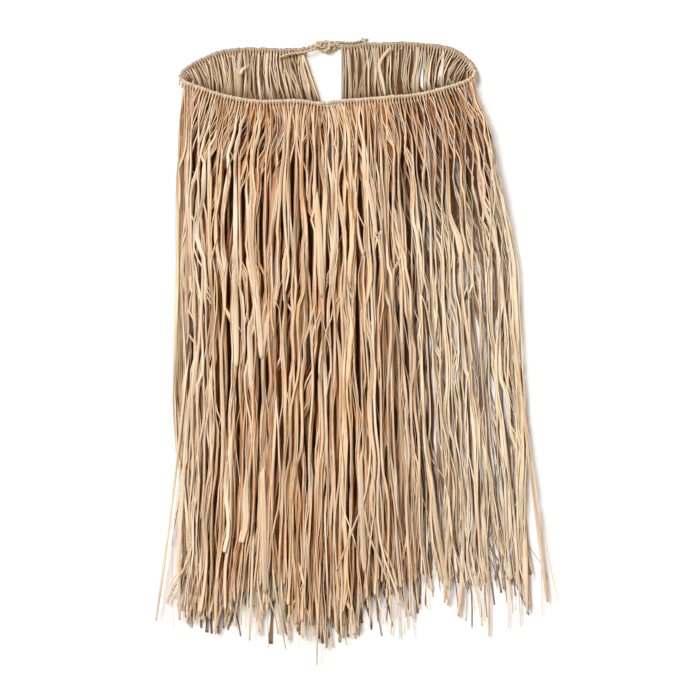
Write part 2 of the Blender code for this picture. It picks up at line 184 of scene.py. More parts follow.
# The deep partings of the fringe: where each starts and ends, its width, and how many
# of the four layers it runs through from the top.
Parting = namedtuple("Parting", "x_top y_top x_end y_end width layers")
PARTINGS = [
    Parting(-70.0, 235.0, -55.0, 62.0, 8.0, 3),
    Parting(-168.0, 85.0, -168.0, -108.0, 6.5, 3),
    Parting(-123.0, 282.0, -119.0, 95.0, 6.0, 3),
    Parting(-18.0, 115.0, -19.0, -64.0, 6.0, 3),
    Parting(-2.0, 180.0, 1.0, -35.0, 4.0, 3),
    Parting(26.0, 130.0, 20.0, 16.0, 6.5, 3),
    Parting(-11.0, -135.0, -14.0, -250.0, 6.0, 3),
    Parting(-82.0, 215.0, -80.0, 75.0, 4.5, 2),
    Parting(-142.0, 275.0, -150.0, 136.0, 4.5, 3),
    Parting(-152.0, 5.0, -158.0, -98.0, 4.0, 2),
    Parting(6.0, 218.0, 10.0, 146.0, 5.5, 3),
    Parting(-157.0, -127.0, -155.0, -232.0, 4.0, 2),
    Parting(79.0, 308.0, 83.0, 216.0, 4.5, 3),
    Parting(-76.0, -5.0, -74.0, -112.0, 3.5, 2),
    Parting(-80.0, 72.0, -78.0, -32.0, 3.5, 2),
    Parting(-69.0, -90.0, -64.0, -172.0, 3.5, 2),
    Parting(88.0, 62.0, 94.0, 2.0, 4.5, 3),
    Parting(107.0, 60.0, 109.0, 5.0, 4.5, 2),
    Parting(219.0, -170.0, 222.0, -290.0, 8.0, 4),
    Parting(211.0, -12.0, 214.0, -106.0, 6.5, 4),
    Parting(222.0, -92.0, 225.0, -195.0, 6.0, 4),
    Parting(-225.0, -168.0, -223.0, -272.0, 5.0, 4),
    Parting(193.0, -10.0, 197.0, -86.0, 4.0, 4),
    Parting(192.0, 42.0, 195.0, -6.0, 3.5, 4),
    Parting(150.0, 60.0, 162.0, -60.0, 4.0, 4),
    Parting(130.0, 95.0, 140.0, 0.0, 3.5, 4),
    Parting(165.0, -60.0, 176.0, -170.0, 3.5, 4),
]

# Narrow dark gaps at random places, most of them in the upper part of the front. Here and
# below, a pair holds the least and the most of a random value.
SMALL_PARTINGS = 64
SMALL_X = (-215.0, 170.0)
SMALL_Y = (-20.0, 316.0)
SMALL_LEAN = (-0.08, 0.08)
SMALL_LENGTH = (60.0, 150.0)
SMALL_WIDTH = (2.4, 5.0)
SMALL_LAYERS = (1, 2, 2, 3)            # how many layers one may run through
FAN_LEAN, FAN_REACH = 0.1, 200.0       # how far they lean outwards, this far from the middle

# Gaps in the back wall where it shows over the front band. The first two show the floor.
LOOP_PARTINGS = [
    Parting(-225.5, 363.0, -218.0, 347.0, 2.6, 4),
    Parting(-217.0, 371.0, -208.0, 347.0, 2.4, 4),
    Parting(-193.0, 374.0, -189.5, 338.0, 3.2, 3),
    Parting(-163.0, 368.0, -159.0, 330.0, 2.8, 3),
    Parting(-151.0, 366.0, -148.0, 330.0, 3.4, 3),
    Parting(-132.0, 358.0, -131.0, 328.0, 3.2, 3),
    Parting(-113.0, 366.0, -108.0, 330.0, 2.8, 3),
    Parting(-94.0, 360.0, -86.0, 326.0, 3.6, 3),
    Parting(-75.0, 366.0, -69.0, 326.0, 2.8, 3),
    Parting(11.0, 366.0, 13.0, 328.0, 3.0, 3),
    Parting(44.0, 385.0, 47.0, 330.0, 3.0, 3),
    Parting(54.0, 360.0, 57.0, 330.0, 2.6, 3),
    Parting(88.0, 368.0, 84.0, 336.0, 2.8, 3),
    Parting(107.0, 370.0, 100.0, 338.0, 2.8, 3),
    Parting(126.0, 366.0, 116.0, 345.0, 2.8, 3),
]


def scatter_partings():
    """The small partings, at random places."""
    dice = random.Random(31)
    rows = []
    for _ in range(SMALL_PARTINGS):
        x, y = dice.uniform(*SMALL_X), dice.uniform(*SMALL_Y)
        lean = dice.uniform(*SMALL_LEAN) + FAN_LEAN * x / FAN_REACH
        length = dice.uniform(*SMALL_LENGTH)
        rows.append(Parting(x, y, x + lean * length, y - length,
                            dice.uniform(*SMALL_WIDTH), dice.choice(SMALL_LAYERS)))
    return rows


PARTINGS += scatter_partings()


def spline_point(points, at):
    """The point of the smooth curve through the points at a row number, in millimetres."""
    last = len(points) - 1
    first = min(int(at), last - 1)
    share = at - first
    p1, p2 = Vector(points[first]), Vector(points[first + 1])
    p0 = Vector(points[first - 1]) if first > 0 else p1 + (p1 - p2)
    p3 = Vector(points[first + 2]) if first + 2 <= last else p2 + (p2 - p1)
    reach = (p2 - p1).length
    slope_1 = (p2 - p0) * (reach / ((p2 - p1).length + (p1 - p0).length))
    slope_2 = (p3 - p1) * (reach / ((p3 - p2).length + (p2 - p1).length))
    a = 2 * share**3 - 3 * share**2 + 1
    b = share**3 - 2 * share**2 + share
    c = -2 * share**3 + 3 * share**2
    d = share**3 - share**2
    return p1 * a + slope_1 * b + p2 * c + slope_2 * d


def column(rows, field):
    """One column of a table as an array."""
    return np.array([getattr(row, field) for row in rows])


SECTION_Y = column(SECTIONS, "y")[::-1]
SECTION_COLUMNS = {field: column(SECTIONS, field)[::-1] for field in Section._fields}
HEM_X = column(HEM, "x")


def section(y, field):
    """A value of the laid skirt at one or more distances from the waist."""
    return np.interp(y, SECTION_Y, SECTION_COLUMNS[field])


def wall_place(wall, share, y):
    """Where a share of a wall of fringe, from its left end, lies at each y."""
    left, right = section(y, "left"), section(y, "right")
    tuck = section(y, "tuck")
    if wall == "front":
        share = share ** section(y, "fan")
    if wall == "back_left":
        left, right = left + tuck, section(y, "slit_left")
    if wall == "back_right":
        left, right = section(y, "slit_right"), right - tuck
    return left + (right - left) * share


def smooth_step(value):
    """Zero below 0, one above 1, and a smooth rise between."""
    value = np.clip(value, 0.0, 1.0)
    return value * value * (3 - 2 * value)


def hitch_rows():
    """Row numbers of the hitches, evenly spaced along the cord."""
    rows = np.linspace(*HITCHED_ROWS, 4001)
    points = np.array([list(spline_point(WAIST, at)) for at in rows])
    steps = np.linalg.norm(np.diff(points, axis=0), axis=1)
    gone = np.concatenate([[0.0], np.cumsum(steps)])
    count = round(gone[-1] / HITCH_PITCH)
    return np.interp(np.linspace(0.0, gone[-1], count + 1), gone, rows)


# One hitch: the cord's middle, the directions along the cord and square to it towards the
# hem, and how far its ribbons lean sideways as they leave.
Hitch = namedtuple("Hitch", "spot along hemward lean")
ROW_LOOK = 0.05                        # rows ahead and behind that give the cord's direction
STEEPEST_LEAN = 0.62
LEAN_REACH = 55.0                      # how far the lean carries a ribbon sideways, for lean 1

# At an end of the front: its x, how far in its lean is held back, the lean there, and how
# much more it may be farther in.
FrontEnd = namedtuple("FrontEnd", "x reach lean more")
LEFT_END = FrontEnd(-229.6, 45.0, -0.04, 0.4)
RIGHT_END = FrontEnd(152.0, 40.0, 0.26, 0.3)


def make_hitch(at, wall):
    """The hitch at a row number. At the ends of the front the ribbons drop more steeply."""
    ahead = spline_point(WAIST, at + ROW_LOOK)
    behind = spline_point(WAIST, at - ROW_LOOK)
    along = Vector((ahead.x - behind.x, ahead.y - behind.y, 0.0)).normalized()
    if along.x < 0:
        along.negate()
    hemward = Vector((along.y, -along.x, 0.0))
    spot = spline_point(WAIST, at)
    lean = hemward.x / max(-hemward.y, 0.05)
    lowest, highest = -STEEPEST_LEAN, STEEPEST_LEAN
    if wall == "front":
        inside = float(smooth_step((spot.x - LEFT_END.x) / LEFT_END.reach))
        lowest = LEFT_END.lean - LEFT_END.more * inside
        inside = float(smooth_step((RIGHT_END.x - spot.x) / RIGHT_END.reach))
        highest = RIGHT_END.lean + RIGHT_END.more * inside
    return Hitch(spot, along, hemward, max(lowest, min(highest, lean)))


def hitches_of(wall):
    """The hitches of one wall of fringe, from its left end."""
    first, last = WALLS[wall]
    rows = [at for at in hitch_rows() if min(first, last) <= at < max(first, last)]
    if first > last:
        rows.reverse()
    return [make_hitch(at, wall) for at in rows]


# How the locks of a fringe are spread, as in the solids.
LOCK_ROOM = (0.6, 1.5)                 # a lock's room, beside that of an even spread
SWAY_COUNT = 3
SWAY_REACH = (2.0, 5.0)
SWAY_WAVES = (1.0, 2.6)                # waves from the left end of a wall to its right end
SWAY_DRIFT = (-0.012, 0.012)           # how far a sway turns for each millimetre down
SWAY_SHARE = 0.6                       # how much of its sway a lock takes
SWAY_START, SWAY_FADE = 330.0, 150.0   # where the sway starts, and how far down it is whole
PARTED_SHARE = 0.4                     # share of the gaps that open into a parting
GAP_WIDTH = (3.0, 9.0)
GAP_MIDDLE = (-260.0, 260.0)
GAP_HALF_LENGTH = (80.0, 190.0)
LEAST_GAP = 0.8
MOST_GAP = 0.42                        # the most of a lock's width that one gap takes


class Spread:
    """The locks of one fringe, which lie where the solids' ribbons do."""

    def __init__(self, fringe):
        self.fringe = fringe
        self.dice = dice = random.Random(fringe.seed)
        rooms = [dice.uniform(*LOCK_ROOM) for _ in range(fringe.locks)]
        total = sum(rooms)
        self.shares = [sum(rooms[:i]) / total for i in range(fringe.locks + 1)]
        self.sways = [(dice.uniform(*SWAY_REACH), dice.uniform(*SWAY_WAVES),
                       dice.uniform(*SWAY_DRIFT), dice.uniform(0, 2 * math.pi))
                      for _ in range(SWAY_COUNT)]
        self.partings = [self.parting() for _ in self.shares]

    def parting(self):
        """One gap between two locks: its middle, half length and width."""
        dice = self.dice
        width = dice.uniform(*GAP_WIDTH) if dice.random() < PARTED_SHARE else 0.0
        return dice.uniform(*GAP_MIDDLE), dice.uniform(*GAP_HALF_LENGTH), width

    def edge(self, i, y):
        """Where the line between lock i - 1 and lock i lies at each y."""
        fringe = self.fringe
        share = fringe.start + (fringe.end - fringe.start) * self.shares[i]
        sway = sum(reach * np.sin(2 * math.pi * waves * share + drift * y + phase)
                   for reach, waves, drift, phase in self.sways)
        held = 4 * share * (1 - share) * np.clip((SWAY_START - y) / SWAY_FADE, 0.0, 1.0)
        if fringe.start > 0 and i == 0 or fringe.end < 1 and i == fringe.locks:
            held = held * 0.0
        elif fringe.start > 0 or fringe.end < 1:
            held = held * math.sin(math.pi * self.shares[i])
        return wall_place(fringe.wall, share, y) + sway * held * SWAY_SHARE

    def gap(self, i, y):
        """Half the gap at that line."""
        middle, half_length, width = self.partings[i]
        nearness = np.maximum(0.0, 1 - np.abs(y - middle) / half_length)
        return (LEAST_GAP + width * nearness * nearness * (3 - 2 * nearness)) / 2

    def lock(self, i, y):
        """The left and right edge of lock i at each y."""
        left, right = self.edge(i, y), self.edge(i + 1, y)
        most = MOST_GAP * (right - left)
        return (left + np.minimum(self.gap(i, y), most),
                right - np.minimum(self.gap(i + 1, y), most))


PARTING_SIGHT = 70.0                   # a parting farther off than this moves no ribbon
PUSH_SOFTNESS = 1.2
CROWD_REACH, CROWD_SHARE = 9.0, 0.5    # ribbons beside a parting crowd together a little


def part_locks(x, y, layer, partings):
    """Push a path aside where a deep parting runs through its layer."""
    for parting in partings:
        far = abs(x[len(x) // 3] - parting.x_top) > PARTING_SIGHT
        if far or layer < len(LAYERS) - parting.layers:
            continue
        share = (parting.y_top - y) / (parting.y_top - parting.y_end)
        nearness = smooth_step(1.7 - np.abs(share - 0.5) * 2.4)
        if not nearness.any():
            continue
        middle = parting.x_top + (parting.x_end - parting.x_top) * share
        away = x - middle
        side = 1.0 if float((away * nearness).sum()) > 0 else -1.0
        half = parting.width / 2 * nearness
        short = half - away * side
        push = np.log1p(np.exp(np.clip(short / PUSH_SOFTNESS, -30.0, 30.0))) * PUSH_SOFTNESS
        close = np.exp(-np.maximum(0.0, -short) / CROWD_REACH) * half * CROWD_SHARE
        near = np.clip(1.6 - np.abs(away) / (parting.width * 2.2), 0.0, 1.0)
        x = x + side * (push * near + close * (1 - near)) * (nearness > 0)
    return x


def waves(dice, y, count, reaches, lengths):
    """A sum of gentle waves along a ribbon."""
    total = 0.0 * y
    for _ in range(count):
        reach, length = dice.uniform(*reaches), dice.uniform(*lengths)
        total = total + reach * np.sin(2 * math.pi * y / length + dice.uniform(0.0, 6.3))
    return total


# One ribbon: its path and shape at each of its rings.
Ribbon = namedtuple("Ribbon", "x y z width fold twist tone shade thin fringe")
RINGS = 44
FLOOR_GAP = 0.3
HEM_LOOK_Y = -300.0                    # where a ribbon's place tells how long it may be

# The layers of ribbons from the surface up: how much of the skirt's height lies under each and
# how high it reaches, how much of their width its ribbons keep at the cord, their least tone
# and its span, the painted shade of their upper faces and their undersides, and how much more
# painted shade the lowest ribbons of the layer get than the highest.
Layer = namedtuple("Layer", "low high gathered tone span above below sunken")
LAYERS = [
    Layer(0.02, 0.17, 0.80, 0.1, 0.6, 1.25, 0.0, 0.5),
    Layer(0.17, 0.36, 0.74, 0.05, 0.5, 0.00, 0.8, 0.3),
    Layer(0.34, 0.58, 0.80, 0.1, 0.8, 0.35, 0.9, 0.5),
    Layer(0.66, 1.00, 0.45, 0.0, 0.65, 0.00, 0.7, 0.4),
]
Top = namedtuple("Top", "y height")
TOPS = [
    Top(410.0, 9.5),
    Top(345.0, 10.5),
    Top(322.0, 11.5),
    Top(300.0, 13.5),
    Top(222.0, 18.0),
    Top(118.0, 22.0),
    Top(-25.0, 24.5),
    Top(-168.0, 23.0),
    Top(-262.0, 20.0),
    Top(-325.0, 16.5),
    Top(-380.0, 12.0),
    Top(-420.0, 8.0),
]
TOP_Y, TOP_HEIGHT = column(TOPS, "y")[::-1], column(TOPS, "height")[::-1]

# The left edge of the back opening where it shows.
SLIT_Y = (200.0, 325.0, 385.0)
SLIT_X = (-32.0, -49.5, -70.5)

# How far inside the laid skirt's left and right edges nearly all the ribbons keep.
Edge = namedtuple("Edge", "y left right")
EDGES = [
    Edge(100.0, 0.0, 0.0),
    Edge(-25.0, 0.0, 2.0),
    Edge(-130.0, 8.0, 9.0),
    Edge(-175.0, 18.0, 17.0),
    Edge(-262.0, 34.0, 26.0),
    Edge(-350.0, 39.0, 30.0),
]
EDGE_Y = column(EDGES, "y")[::-1]
EDGE_LEFT, EDGE_RIGHT = column(EDGES, "left")[::-1], column(EDGES, "right")[::-1]

FRONT_CORD = WAIST[9:26]
FRONT_CORD_X, FRONT_CORD_Y = column(FRONT_CORD, "x"), column(FRONT_CORD, "y")


# The widths of ribbons: fibres and narrow ribbons, and fewer wide ones. A draw from 0 to 1
# takes the first row that it lies under.
WidthClass = namedtuple("WidthClass", "under least most")
WIDTHS = [
    WidthClass(0.36, 0.6, 1.6),
    WidthClass(0.76, 1.7, 3.2),
    WidthClass(0.94, 3.2, 5.0),
    WidthClass(1.00, 5.0, 8.0),
]

# How the ribbons end.
SHORT_SHARE, SHORT_BY = 0.1, (20.0, 130.0)
FULL_SHARE, INNER_FULL_SHARE = 0.72, 0.86     # ribbons that end by the full hem, or sooner
HEM_SPREAD, HEM_DROP = 15.0, 4.0
RUN_ON, RUN_ON_MORE = 0.25, 0.8               # how far the rest run on to the longest hem

# Where the laid skirt is thin: where on a wall it starts to be, and over how much of it.
Thinning = namedtuple("Thinning", "start over")
RIGHT_THINS, LEFT_THINS, BACK_THINS = Thinning(0.52, 0.34), Thinning(0.24, 0.22), Thinning(0.22, 0.46)
LEFT_THINNESS = 0.6                           # beside that of the right side


def pick_width(dice):
    """The width of a ribbon."""
    draw = dice.random()
    chosen = next(row for row in WIDTHS if draw < row.under)
    return dice.uniform(chosen.least, chosen.most)


def pick_tip(dice, end_x, layer):
    """How far down a ribbon reaches: most end by the full hem, and a few run on."""
    full = float(np.interp(end_x, HEM_X, column(HEM, "full")))
    longest = float(np.interp(end_x, HEM_X, column(HEM, "longest")))
    draw = dice.random()
    if draw < SHORT_SHARE:
        return full + dice.uniform(*SHORT_BY), full
    if draw < (INNER_FULL_SHARE if layer in (1, 2) else FULL_SHARE):
        return full + abs(dice.gauss(0.0, HEM_SPREAD)) - HEM_DROP, full
    return full + (longest - full) * (RUN_ON + RUN_ON_MORE * dice.random()), full


def sparseness(fringe, of_wall):
    """One where the laid skirt is thin, at its right side and less so at its left."""
    thins = BACK_THINS if fringe.wall == "back_right" else RIGHT_THINS
    right = float(smooth_step((of_wall - thins.start) / thins.over))
    left = LEFT_THINNESS * float(smooth_step((LEFT_THINS.start - of_wall) / LEFT_THINS.over))
    if fringe.wall == "back_left":
        return left
    if fringe.wall == "back_right":
        return right
    return max(left, right)


def pick_root(dice, fringe, hitches, number):
    """The hitch that a ribbon hangs from, its number and its share of the wall."""
    first, last = hitches[0].spot.x, hitches[-1].spot.x
    places = [(hitch.spot.x - first) / (last - first) for hitch in hitches]
    own = [i for i, place in enumerate(places)
           if fringe.start - 0.01 <= place < fringe.end + 0.01]
    draw = ((number + dice.random()) / fringe.ribbons) ** fringe.thinning
    index = own[int(draw * len(own))]
    of_wall = places[index] + dice.uniform(-0.5, 0.5) * HITCH_PITCH / abs(last - first)
    return hitches[index], index, min(max(of_wall, fringe.start), fringe.end - 0.001)


# How strongly the ribbons gather in clumps, which leaves dark gaps between.
Clumping = namedtuple("Clumping", "y reach")
CLUMPING = [
    Clumping(400.0, 0.9),
    Clumping(330.0, 0.9),
    Clumping(250.0, 1.8),
    Clumping(50.0, 1.8),
    Clumping(-150.0, 0.9),
    Clumping(-300.0, 0.4),
]
CLUMPING_Y, CLUMPING_REACH = column(CLUMPING, "y")[::-1], column(CLUMPING, "reach")[::-1]


def clump(x, y):
    """Draw a path towards the nearest clump."""
    pull = (np.sin(2 * math.pi * x / 7.9 + y / 80.0 + 2 * np.sin(y / 95.0))
            + 0.8 * np.sin(2 * math.pi * x / 12.7 - y / 120.0))
    return x + np.interp(y, CLUMPING_Y, CLUMPING_REACH) * pull


def drift(dice, share_down, reach):
    """A slow move to one side that starts and ends somewhere along a ribbon."""
    return dice.gauss(0.0, reach) * smooth_step(
        share_down * dice.uniform(1.4, 5.0) - dice.uniform(0.0, 1.6))


# Where a wall's ribbons bend to the left: by how much, round which share of the wall, and how
# wide that stretch is.
Bend = namedtuple("Bend", "reach middle spread")
FRONT_BEND = Bend(11.0, 0.17, 0.12)
BACK_BEND = Bend(13.0, 0.56, 0.24)


def wall_bend(wall, of_wall, y):
    """How far a ribbon bends to the left of its place."""
    if wall == "back_right":
        return 0.0
    bend = FRONT_BEND if wall == "front" else BACK_BEND
    share = math.exp(-((of_wall - bend.middle) / bend.spread) ** 2)
    if wall == "front":
        return bend.reach * share * smooth_step((330.0 - y) / 60.0) * smooth_step(
            (y - 60.0) / 150.0)
    return bend.reach * share * smooth_step((y - 240.0) / 80.0)


def field_path(dice, spread, index, of_wall, width, y):
    """Where a ribbon lies within its lock, with its bundle's bends and its own."""
    fringe = spread.fringe
    share_down = (y[0] - y) / (y[0] - y[-1])
    share = (of_wall - fringe.start) / (fringe.end - fringe.start)
    lock = min(int(np.searchsorted(spread.shares, share, side="right")) - 1, fringe.locks - 1)
    left, right = spread.lock(lock, y)
    inset = np.minimum(width * 0.4, (right - left) * 0.5)
    begin = (share - spread.shares[lock]) / (spread.shares[lock + 1] - spread.shares[lock])
    middle, end = dice.uniform(0.0, 1.0), dice.uniform(0.0, 1.0)
    inside = (begin + (middle - begin) * smooth_step(share_down * 1.8)
              + (end - middle) * smooth_step(share_down * 1.9 - 0.8))
    field = left + inset + (right - left - 2 * inset) * inside
    bundle = random.Random(fringe.seed * 1000 + index // 2)
    field = field + waves(bundle, y, 3, (0.5, 2.2), (110.0, 420.0))
    if bundle.random() < 0.3:
        field = field + drift(bundle, share_down, 8.0)
    field = field + waves(dice, y, 2, (0.2, 1.0), (60.0, 210.0))
    if dice.random() < 0.34:
        field = field + drift(dice, share_down, 18.0 if width < 1.6 else 11.0)
    return part_locks(field - wall_bend(fringe.wall, of_wall, y), y, fringe.layer, PARTINGS)


# How a ribbon leaves its hitch.
LEAN_GAIN = 1.2                        # its lean, beside that of its hitch
BUNDLE_LEAN, OWN_LEAN = 0.09, 0.07     # spread of the lean from bundle to bundle, and within one
CROSSING_SHARE, CROSSING_LEAN = 0.14, 0.22
ROOT_HEMWARD = 3.0                     # from the cord's middle to the first of the root
ROOT_DOWN = (0.6, 2.0)
ROOT_SIDE = (-0.7, 0.7)
HOLD_LENGTH = (55.0, 125.0)            # how far down the lean carries the ribbon

# How a ribbon's end lies and looks.
CUT_LENGTH = (2.0, 8.0)                # length of the last ring, where the width may drop
EDGE_KEPT_SHARE = 0.95                 # share of the ribbons that keep inside the edges
LEFT_SPREAD, RIGHT_SPREAD = 5.0, 8.0
SWING_LENGTH = 90.0                    # the stretch at the tip that swings sideways
WILD_SHARE, WILD_SWING, SWING = 0.22, 16.0, 5.0
TAPER = (-0.6, 0.15)
CUT_SHARE, CUT_WIDTH = 0.4, (0.15, 0.6)

# How a ribbon is folded lengthwise and turned.
FOLD_UP_SHARE, FOLD = 0.7, (0.15, 0.5)
WIDE = 4.0                             # ribbons wider than this are folded half as much
TURNED_SHARE = 0.2                     # share of the ribbons that turn over on the way down

# The thin side lies lower: by how much, from which y down, and over how long a stretch.
LOWERED, LOWERED_FROM, LOWERED_OVER = 0.66, 260.0, 150.0


def leave_cord(dice, fringe, hitch, index):
    """Where a ribbon starts below its hitch, and how much it leans sideways there."""
    bundle = random.Random(fringe.seed * 77 + index // 3)
    slope = hitch.lean * LEAN_GAIN + bundle.gauss(0.0, BUNDLE_LEAN) + dice.gauss(0.0, OWN_LEAN)
    if dice.random() < CROSSING_SHARE:
        slope += dice.gauss(0.0, CROSSING_LEAN)
    lean = Vector((hitch.lean, -1.0, 0.0)).normalized()
    between = 0.0 if fringe.layer % 2 else HITCH_PITCH / 2
    root = (hitch.spot + hitch.hemward * ROOT_HEMWARD + lean * dice.uniform(*ROOT_DOWN)
            + hitch.along * (between + dice.uniform(*ROOT_SIDE)))
    return root, slope


def ring_levels(dice, root_y, tip_y):
    """The y of each ring: closer together near the root, with a short last step."""
    steps = (np.arange(RINGS - 1) / (RINGS - 2)) ** 1.2
    cut = dice.uniform(*CUT_LENGTH)
    y = root_y + (tip_y + cut - root_y) * np.append(steps, 1.0)
    y[-1] = tip_y
    return y


def keep_inside(dice, x, y):
    """Hold a path inside the skirt's edges, with a swing of its tip."""
    down = y[0] - y
    kept = 1.0 if dice.random() < EDGE_KEPT_SHARE else dice.random()
    left = section(y, "left") - 1.0 + kept * np.interp(y, EDGE_Y, EDGE_LEFT)
    right = section(y, "right") + 1.0 - kept * np.interp(y, EDGE_Y, EDGE_RIGHT)
    x = np.maximum(x, left + abs(dice.gauss(0.0, LEFT_SPREAD)))
    x = np.minimum(x, right - abs(dice.gauss(0.0, RIGHT_SPREAD)))
    swing = dice.gauss(0.0, WILD_SWING) if dice.random() < WILD_SHARE else dice.gauss(0.0, SWING)
    x = x + swing * smooth_step((down - down[-1] + SWING_LENGTH) / SWING_LENGTH) ** 1.5
    return np.clip(x, section(y, "left") + 2.0, section(y, "right") + 2.0)


def ribbon_widths(dice, layer_number, width, sparse, y):
    """A ribbon's width at each ring: gathered at the cord, and tapered or cut at the tip."""
    layer = LAYERS[layer_number]
    down = y[0] - y
    gather = layer.gathered + (1 - layer.gathered) * smooth_step(down / 125.0)
    taper = 1 + dice.uniform(*TAPER) * smooth_step((down / down[-1] - 0.6) * 2.5)
    widths = width * gather * taper * (1 + waves(dice, y, 2, (0.05, 0.2), (50.0, 240.0)))
    if layer_number == 0:
        full_wall = 1 - sparse * smooth_step((240.0 - y) / 150.0)
        widths = widths * (1 + 1.2 * full_wall * smooth_step((y + 180.0) / 150.0))
    widths[-1] *= dice.uniform(*CUT_WIDTH) if dice.random() < CUT_SHARE else 1.0
    return widths


def keep_off_slit(dice, wall, x, y, widths):
    """Keep a ribbon of the back out of the opening at the knot."""
    if wall == "back_left":
        slit = np.interp(y, SLIT_Y, SLIT_X)
        return np.minimum(x, slit + 1.5 - widths / 2 - abs(dice.gauss(0.0, 1.0)))
    if wall == "back_right":
        slit = section(y, "slit_right")
        return np.maximum(x, slit - 0.5 + widths / 2 + abs(dice.gauss(0.0, 1.0)))
    return x


def fold_and_twist(dice, layer_number, width, y):
    """How sharply a ribbon is folded lengthwise, and how far it is turned at each ring."""
    share_down = (y[0] - y) / (y[0] - y[-1])
    fold = (1 if dice.random() < FOLD_UP_SHARE else -1) * dice.uniform(*FOLD)
    if width > WIDE:
        fold *= 0.5
    twist = dice.gauss(0.0, 0.22) + waves(dice, y, 1, (0.2, 0.95), (90.0, 380.0))
    if dice.random() < TURNED_SHARE:
        twist = twist + math.pi * smooth_step((share_down - dice.uniform(0.2, 0.9)) * 5 + 0.5)
    if layer_number == 0:
        fold, twist = fold * 0.2, twist * 0.15
    return fold, twist


def lowering(sparse, y):
    """The share of its height that the skirt keeps where it is thin."""
    return 1 - LOWERED * sparse * smooth_step((LOWERED_FROM - y) / LOWERED_OVER)


def ribbon_heights(dice, layer_number, root_z, place, sparse, full, y):
    """A ribbon's height at each ring: from its hitch into its place in its layer."""
    layer = LAYERS[layer_number]
    share = layer.low + (layer.high - layer.low) * place
    z = np.interp(y, TOP_Y, TOP_HEIGHT) * share * lowering(sparse, y)
    z = z * (1 - 0.5 * smooth_step((full - y) / 60.0))
    root_z += dice.uniform(-0.2, 1.0) if layer_number % 2 else dice.uniform(-1.6, -0.6)
    free = smooth_step((y[0] - y) / 50.0)
    return root_z * (1 - free) + z * free


def plan_ribbon(dice, name, spread, hitches, number):
    """Lay out one ribbon of a fringe. The order of the random draws gives its look."""
    fringe = spread.fringe
    layer = LAYERS[fringe.layer]
    hitch, index, of_wall = pick_root(dice, fringe, hitches, number)
    sparse = sparseness(fringe, of_wall)
    root, slope = leave_cord(dice, fringe, hitch, index)
    width = pick_width(dice) * (1 - 0.25 * sparse)
    if fringe.layer == 0:
        width = max(width, 3.0 * (1 - 0.5 * sparse))

    before = dice.getstate()
    whole = np.linspace(root.y, HEM_LOOK_Y, RINGS)
    end_x = float(field_path(dice, spread, index, of_wall, width, whole)[-1])
    dice.setstate(before)
    tip_y, full = pick_tip(random.Random(index * 997 + number), end_x, fringe.layer)
    y = ring_levels(dice, root.y, tip_y)
    down = root.y - y

    field = field_path(dice, spread, index, of_wall, width, y)
    hold = 1 - smooth_step(down / dice.uniform(*HOLD_LENGTH))
    carried = LEAN_REACH * (1 - np.exp(-down / LEAN_REACH))
    x = field * (1 - hold) + (root.x + carried * slope) * hold
    x = x + (clump(x, y) - x) * smooth_step(down / 25.0)
    if fringe.wall != "front":
        x = part_locks(x, y, fringe.layer, LOOP_PARTINGS)
    x = keep_inside(dice, x, y)
    widths = ribbon_widths(dice, fringe.layer, width, sparse, y)
    x = keep_off_slit(dice, fringe.wall, x, y, widths)
    fold, twist = fold_and_twist(dice, fringe.layer, width, y)
    place = np.clip(dice.random() + waves(dice, y, 2, (0.05, 0.25), (120.0, 420.0)), 0.0, 1.0)
    z = ribbon_heights(dice, fringe.layer, hitch.spot.z, place, sparse, full, y)

    # Ribbons are paler where the skirt is thin: painted light, as more light reaches a thin pile.
    tone = ((layer.tone + layer.span * dice.random() ** 1.4) * (1 - 0.9 * sparse),
            dice.random(), dice.random())
    # thin: how much the painted shade lifts where the skirt is thin and towards the tips.
    thin = np.maximum(sparse * smooth_step((290.0 - y) / 150.0),
                      smooth_step((full + 40.0 - y) / 50.0) * 0.9)
    return Ribbon(x, y, z, widths, fold, twist, tone,
                  ribbon_shade(dice, fringe, x, y, place, thin), thin, name)


def ribbon_shade(dice, fringe, x, y, place, thin):
    """How much painted shade a ribbon's six corners carry: its edges, two folds, the crease and
    underside.
    """
    layer = LAYERS[fringe.layer]
    down = y[0] - y
    # Painted shade on the upper faces: set by the layer, more for ribbons low in their layer, much less
    # where the skirt is thin and at the tips.
    above = layer.above * dice.uniform(0.7, 1.0)
    above = above + (1 - above) * layer.sunken * (1 - place) ** 1.3
    above = above * (1 - 0.95 * thin)
    # Painted shade on the middle layer just below the cord, dark in the slots between the hitches.
    if fringe.layer == 2:
        above = above + (1.0 - above) * smooth_step(2.0 - down / 16.0)
    # Painted shadow on the back layers close to the front band and under it.
    if fringe.layer < 2:
        over_band = y - np.interp(x, FRONT_CORD_X, FRONT_CORD_Y)
        above = above + (1.0 - above) * smooth_step((18.0 - over_band) / 16.0) * 0.8
    # The edges are darker: partly the raffia's own tan, mostly painted shade, more on the right edge,
    # away from the key light.
    edges = [np.maximum(above, dice.uniform(least, 1.0) * (1 - 0.82 * thin))
             for least in (0.6, 0.3)]
    # Painted shade in the crease and on the underside.
    crease = above + (1 - above) * dice.uniform(0.1, 0.6) * (1 - 0.75 * thin)
    return np.stack([edges[0], above, crease, above + 0.1, edges[1],
                     layer.below * (1 - 0.85 * thin)], axis=1)


# A map of how high the ribbons reach, in cells of the plan.
MAP_LEFT, MAP_LOW = -300.0, -430.0
MAP_CELL, MAP_ROW = 1.5, 6.0
MAP_SIZE = (144, 400)
MAP_REACH = 3                          # cells to each side that count as beside a ribbon
SUNKEN_SHARE = 0.24                    # ribbons this share of the skirt's height lower get full painted shade
SUNKEN_PAINTED_SHADE, THIN_LESS = 0.82, 0.65   # how much painted shade, and how much less where the skirt is thin
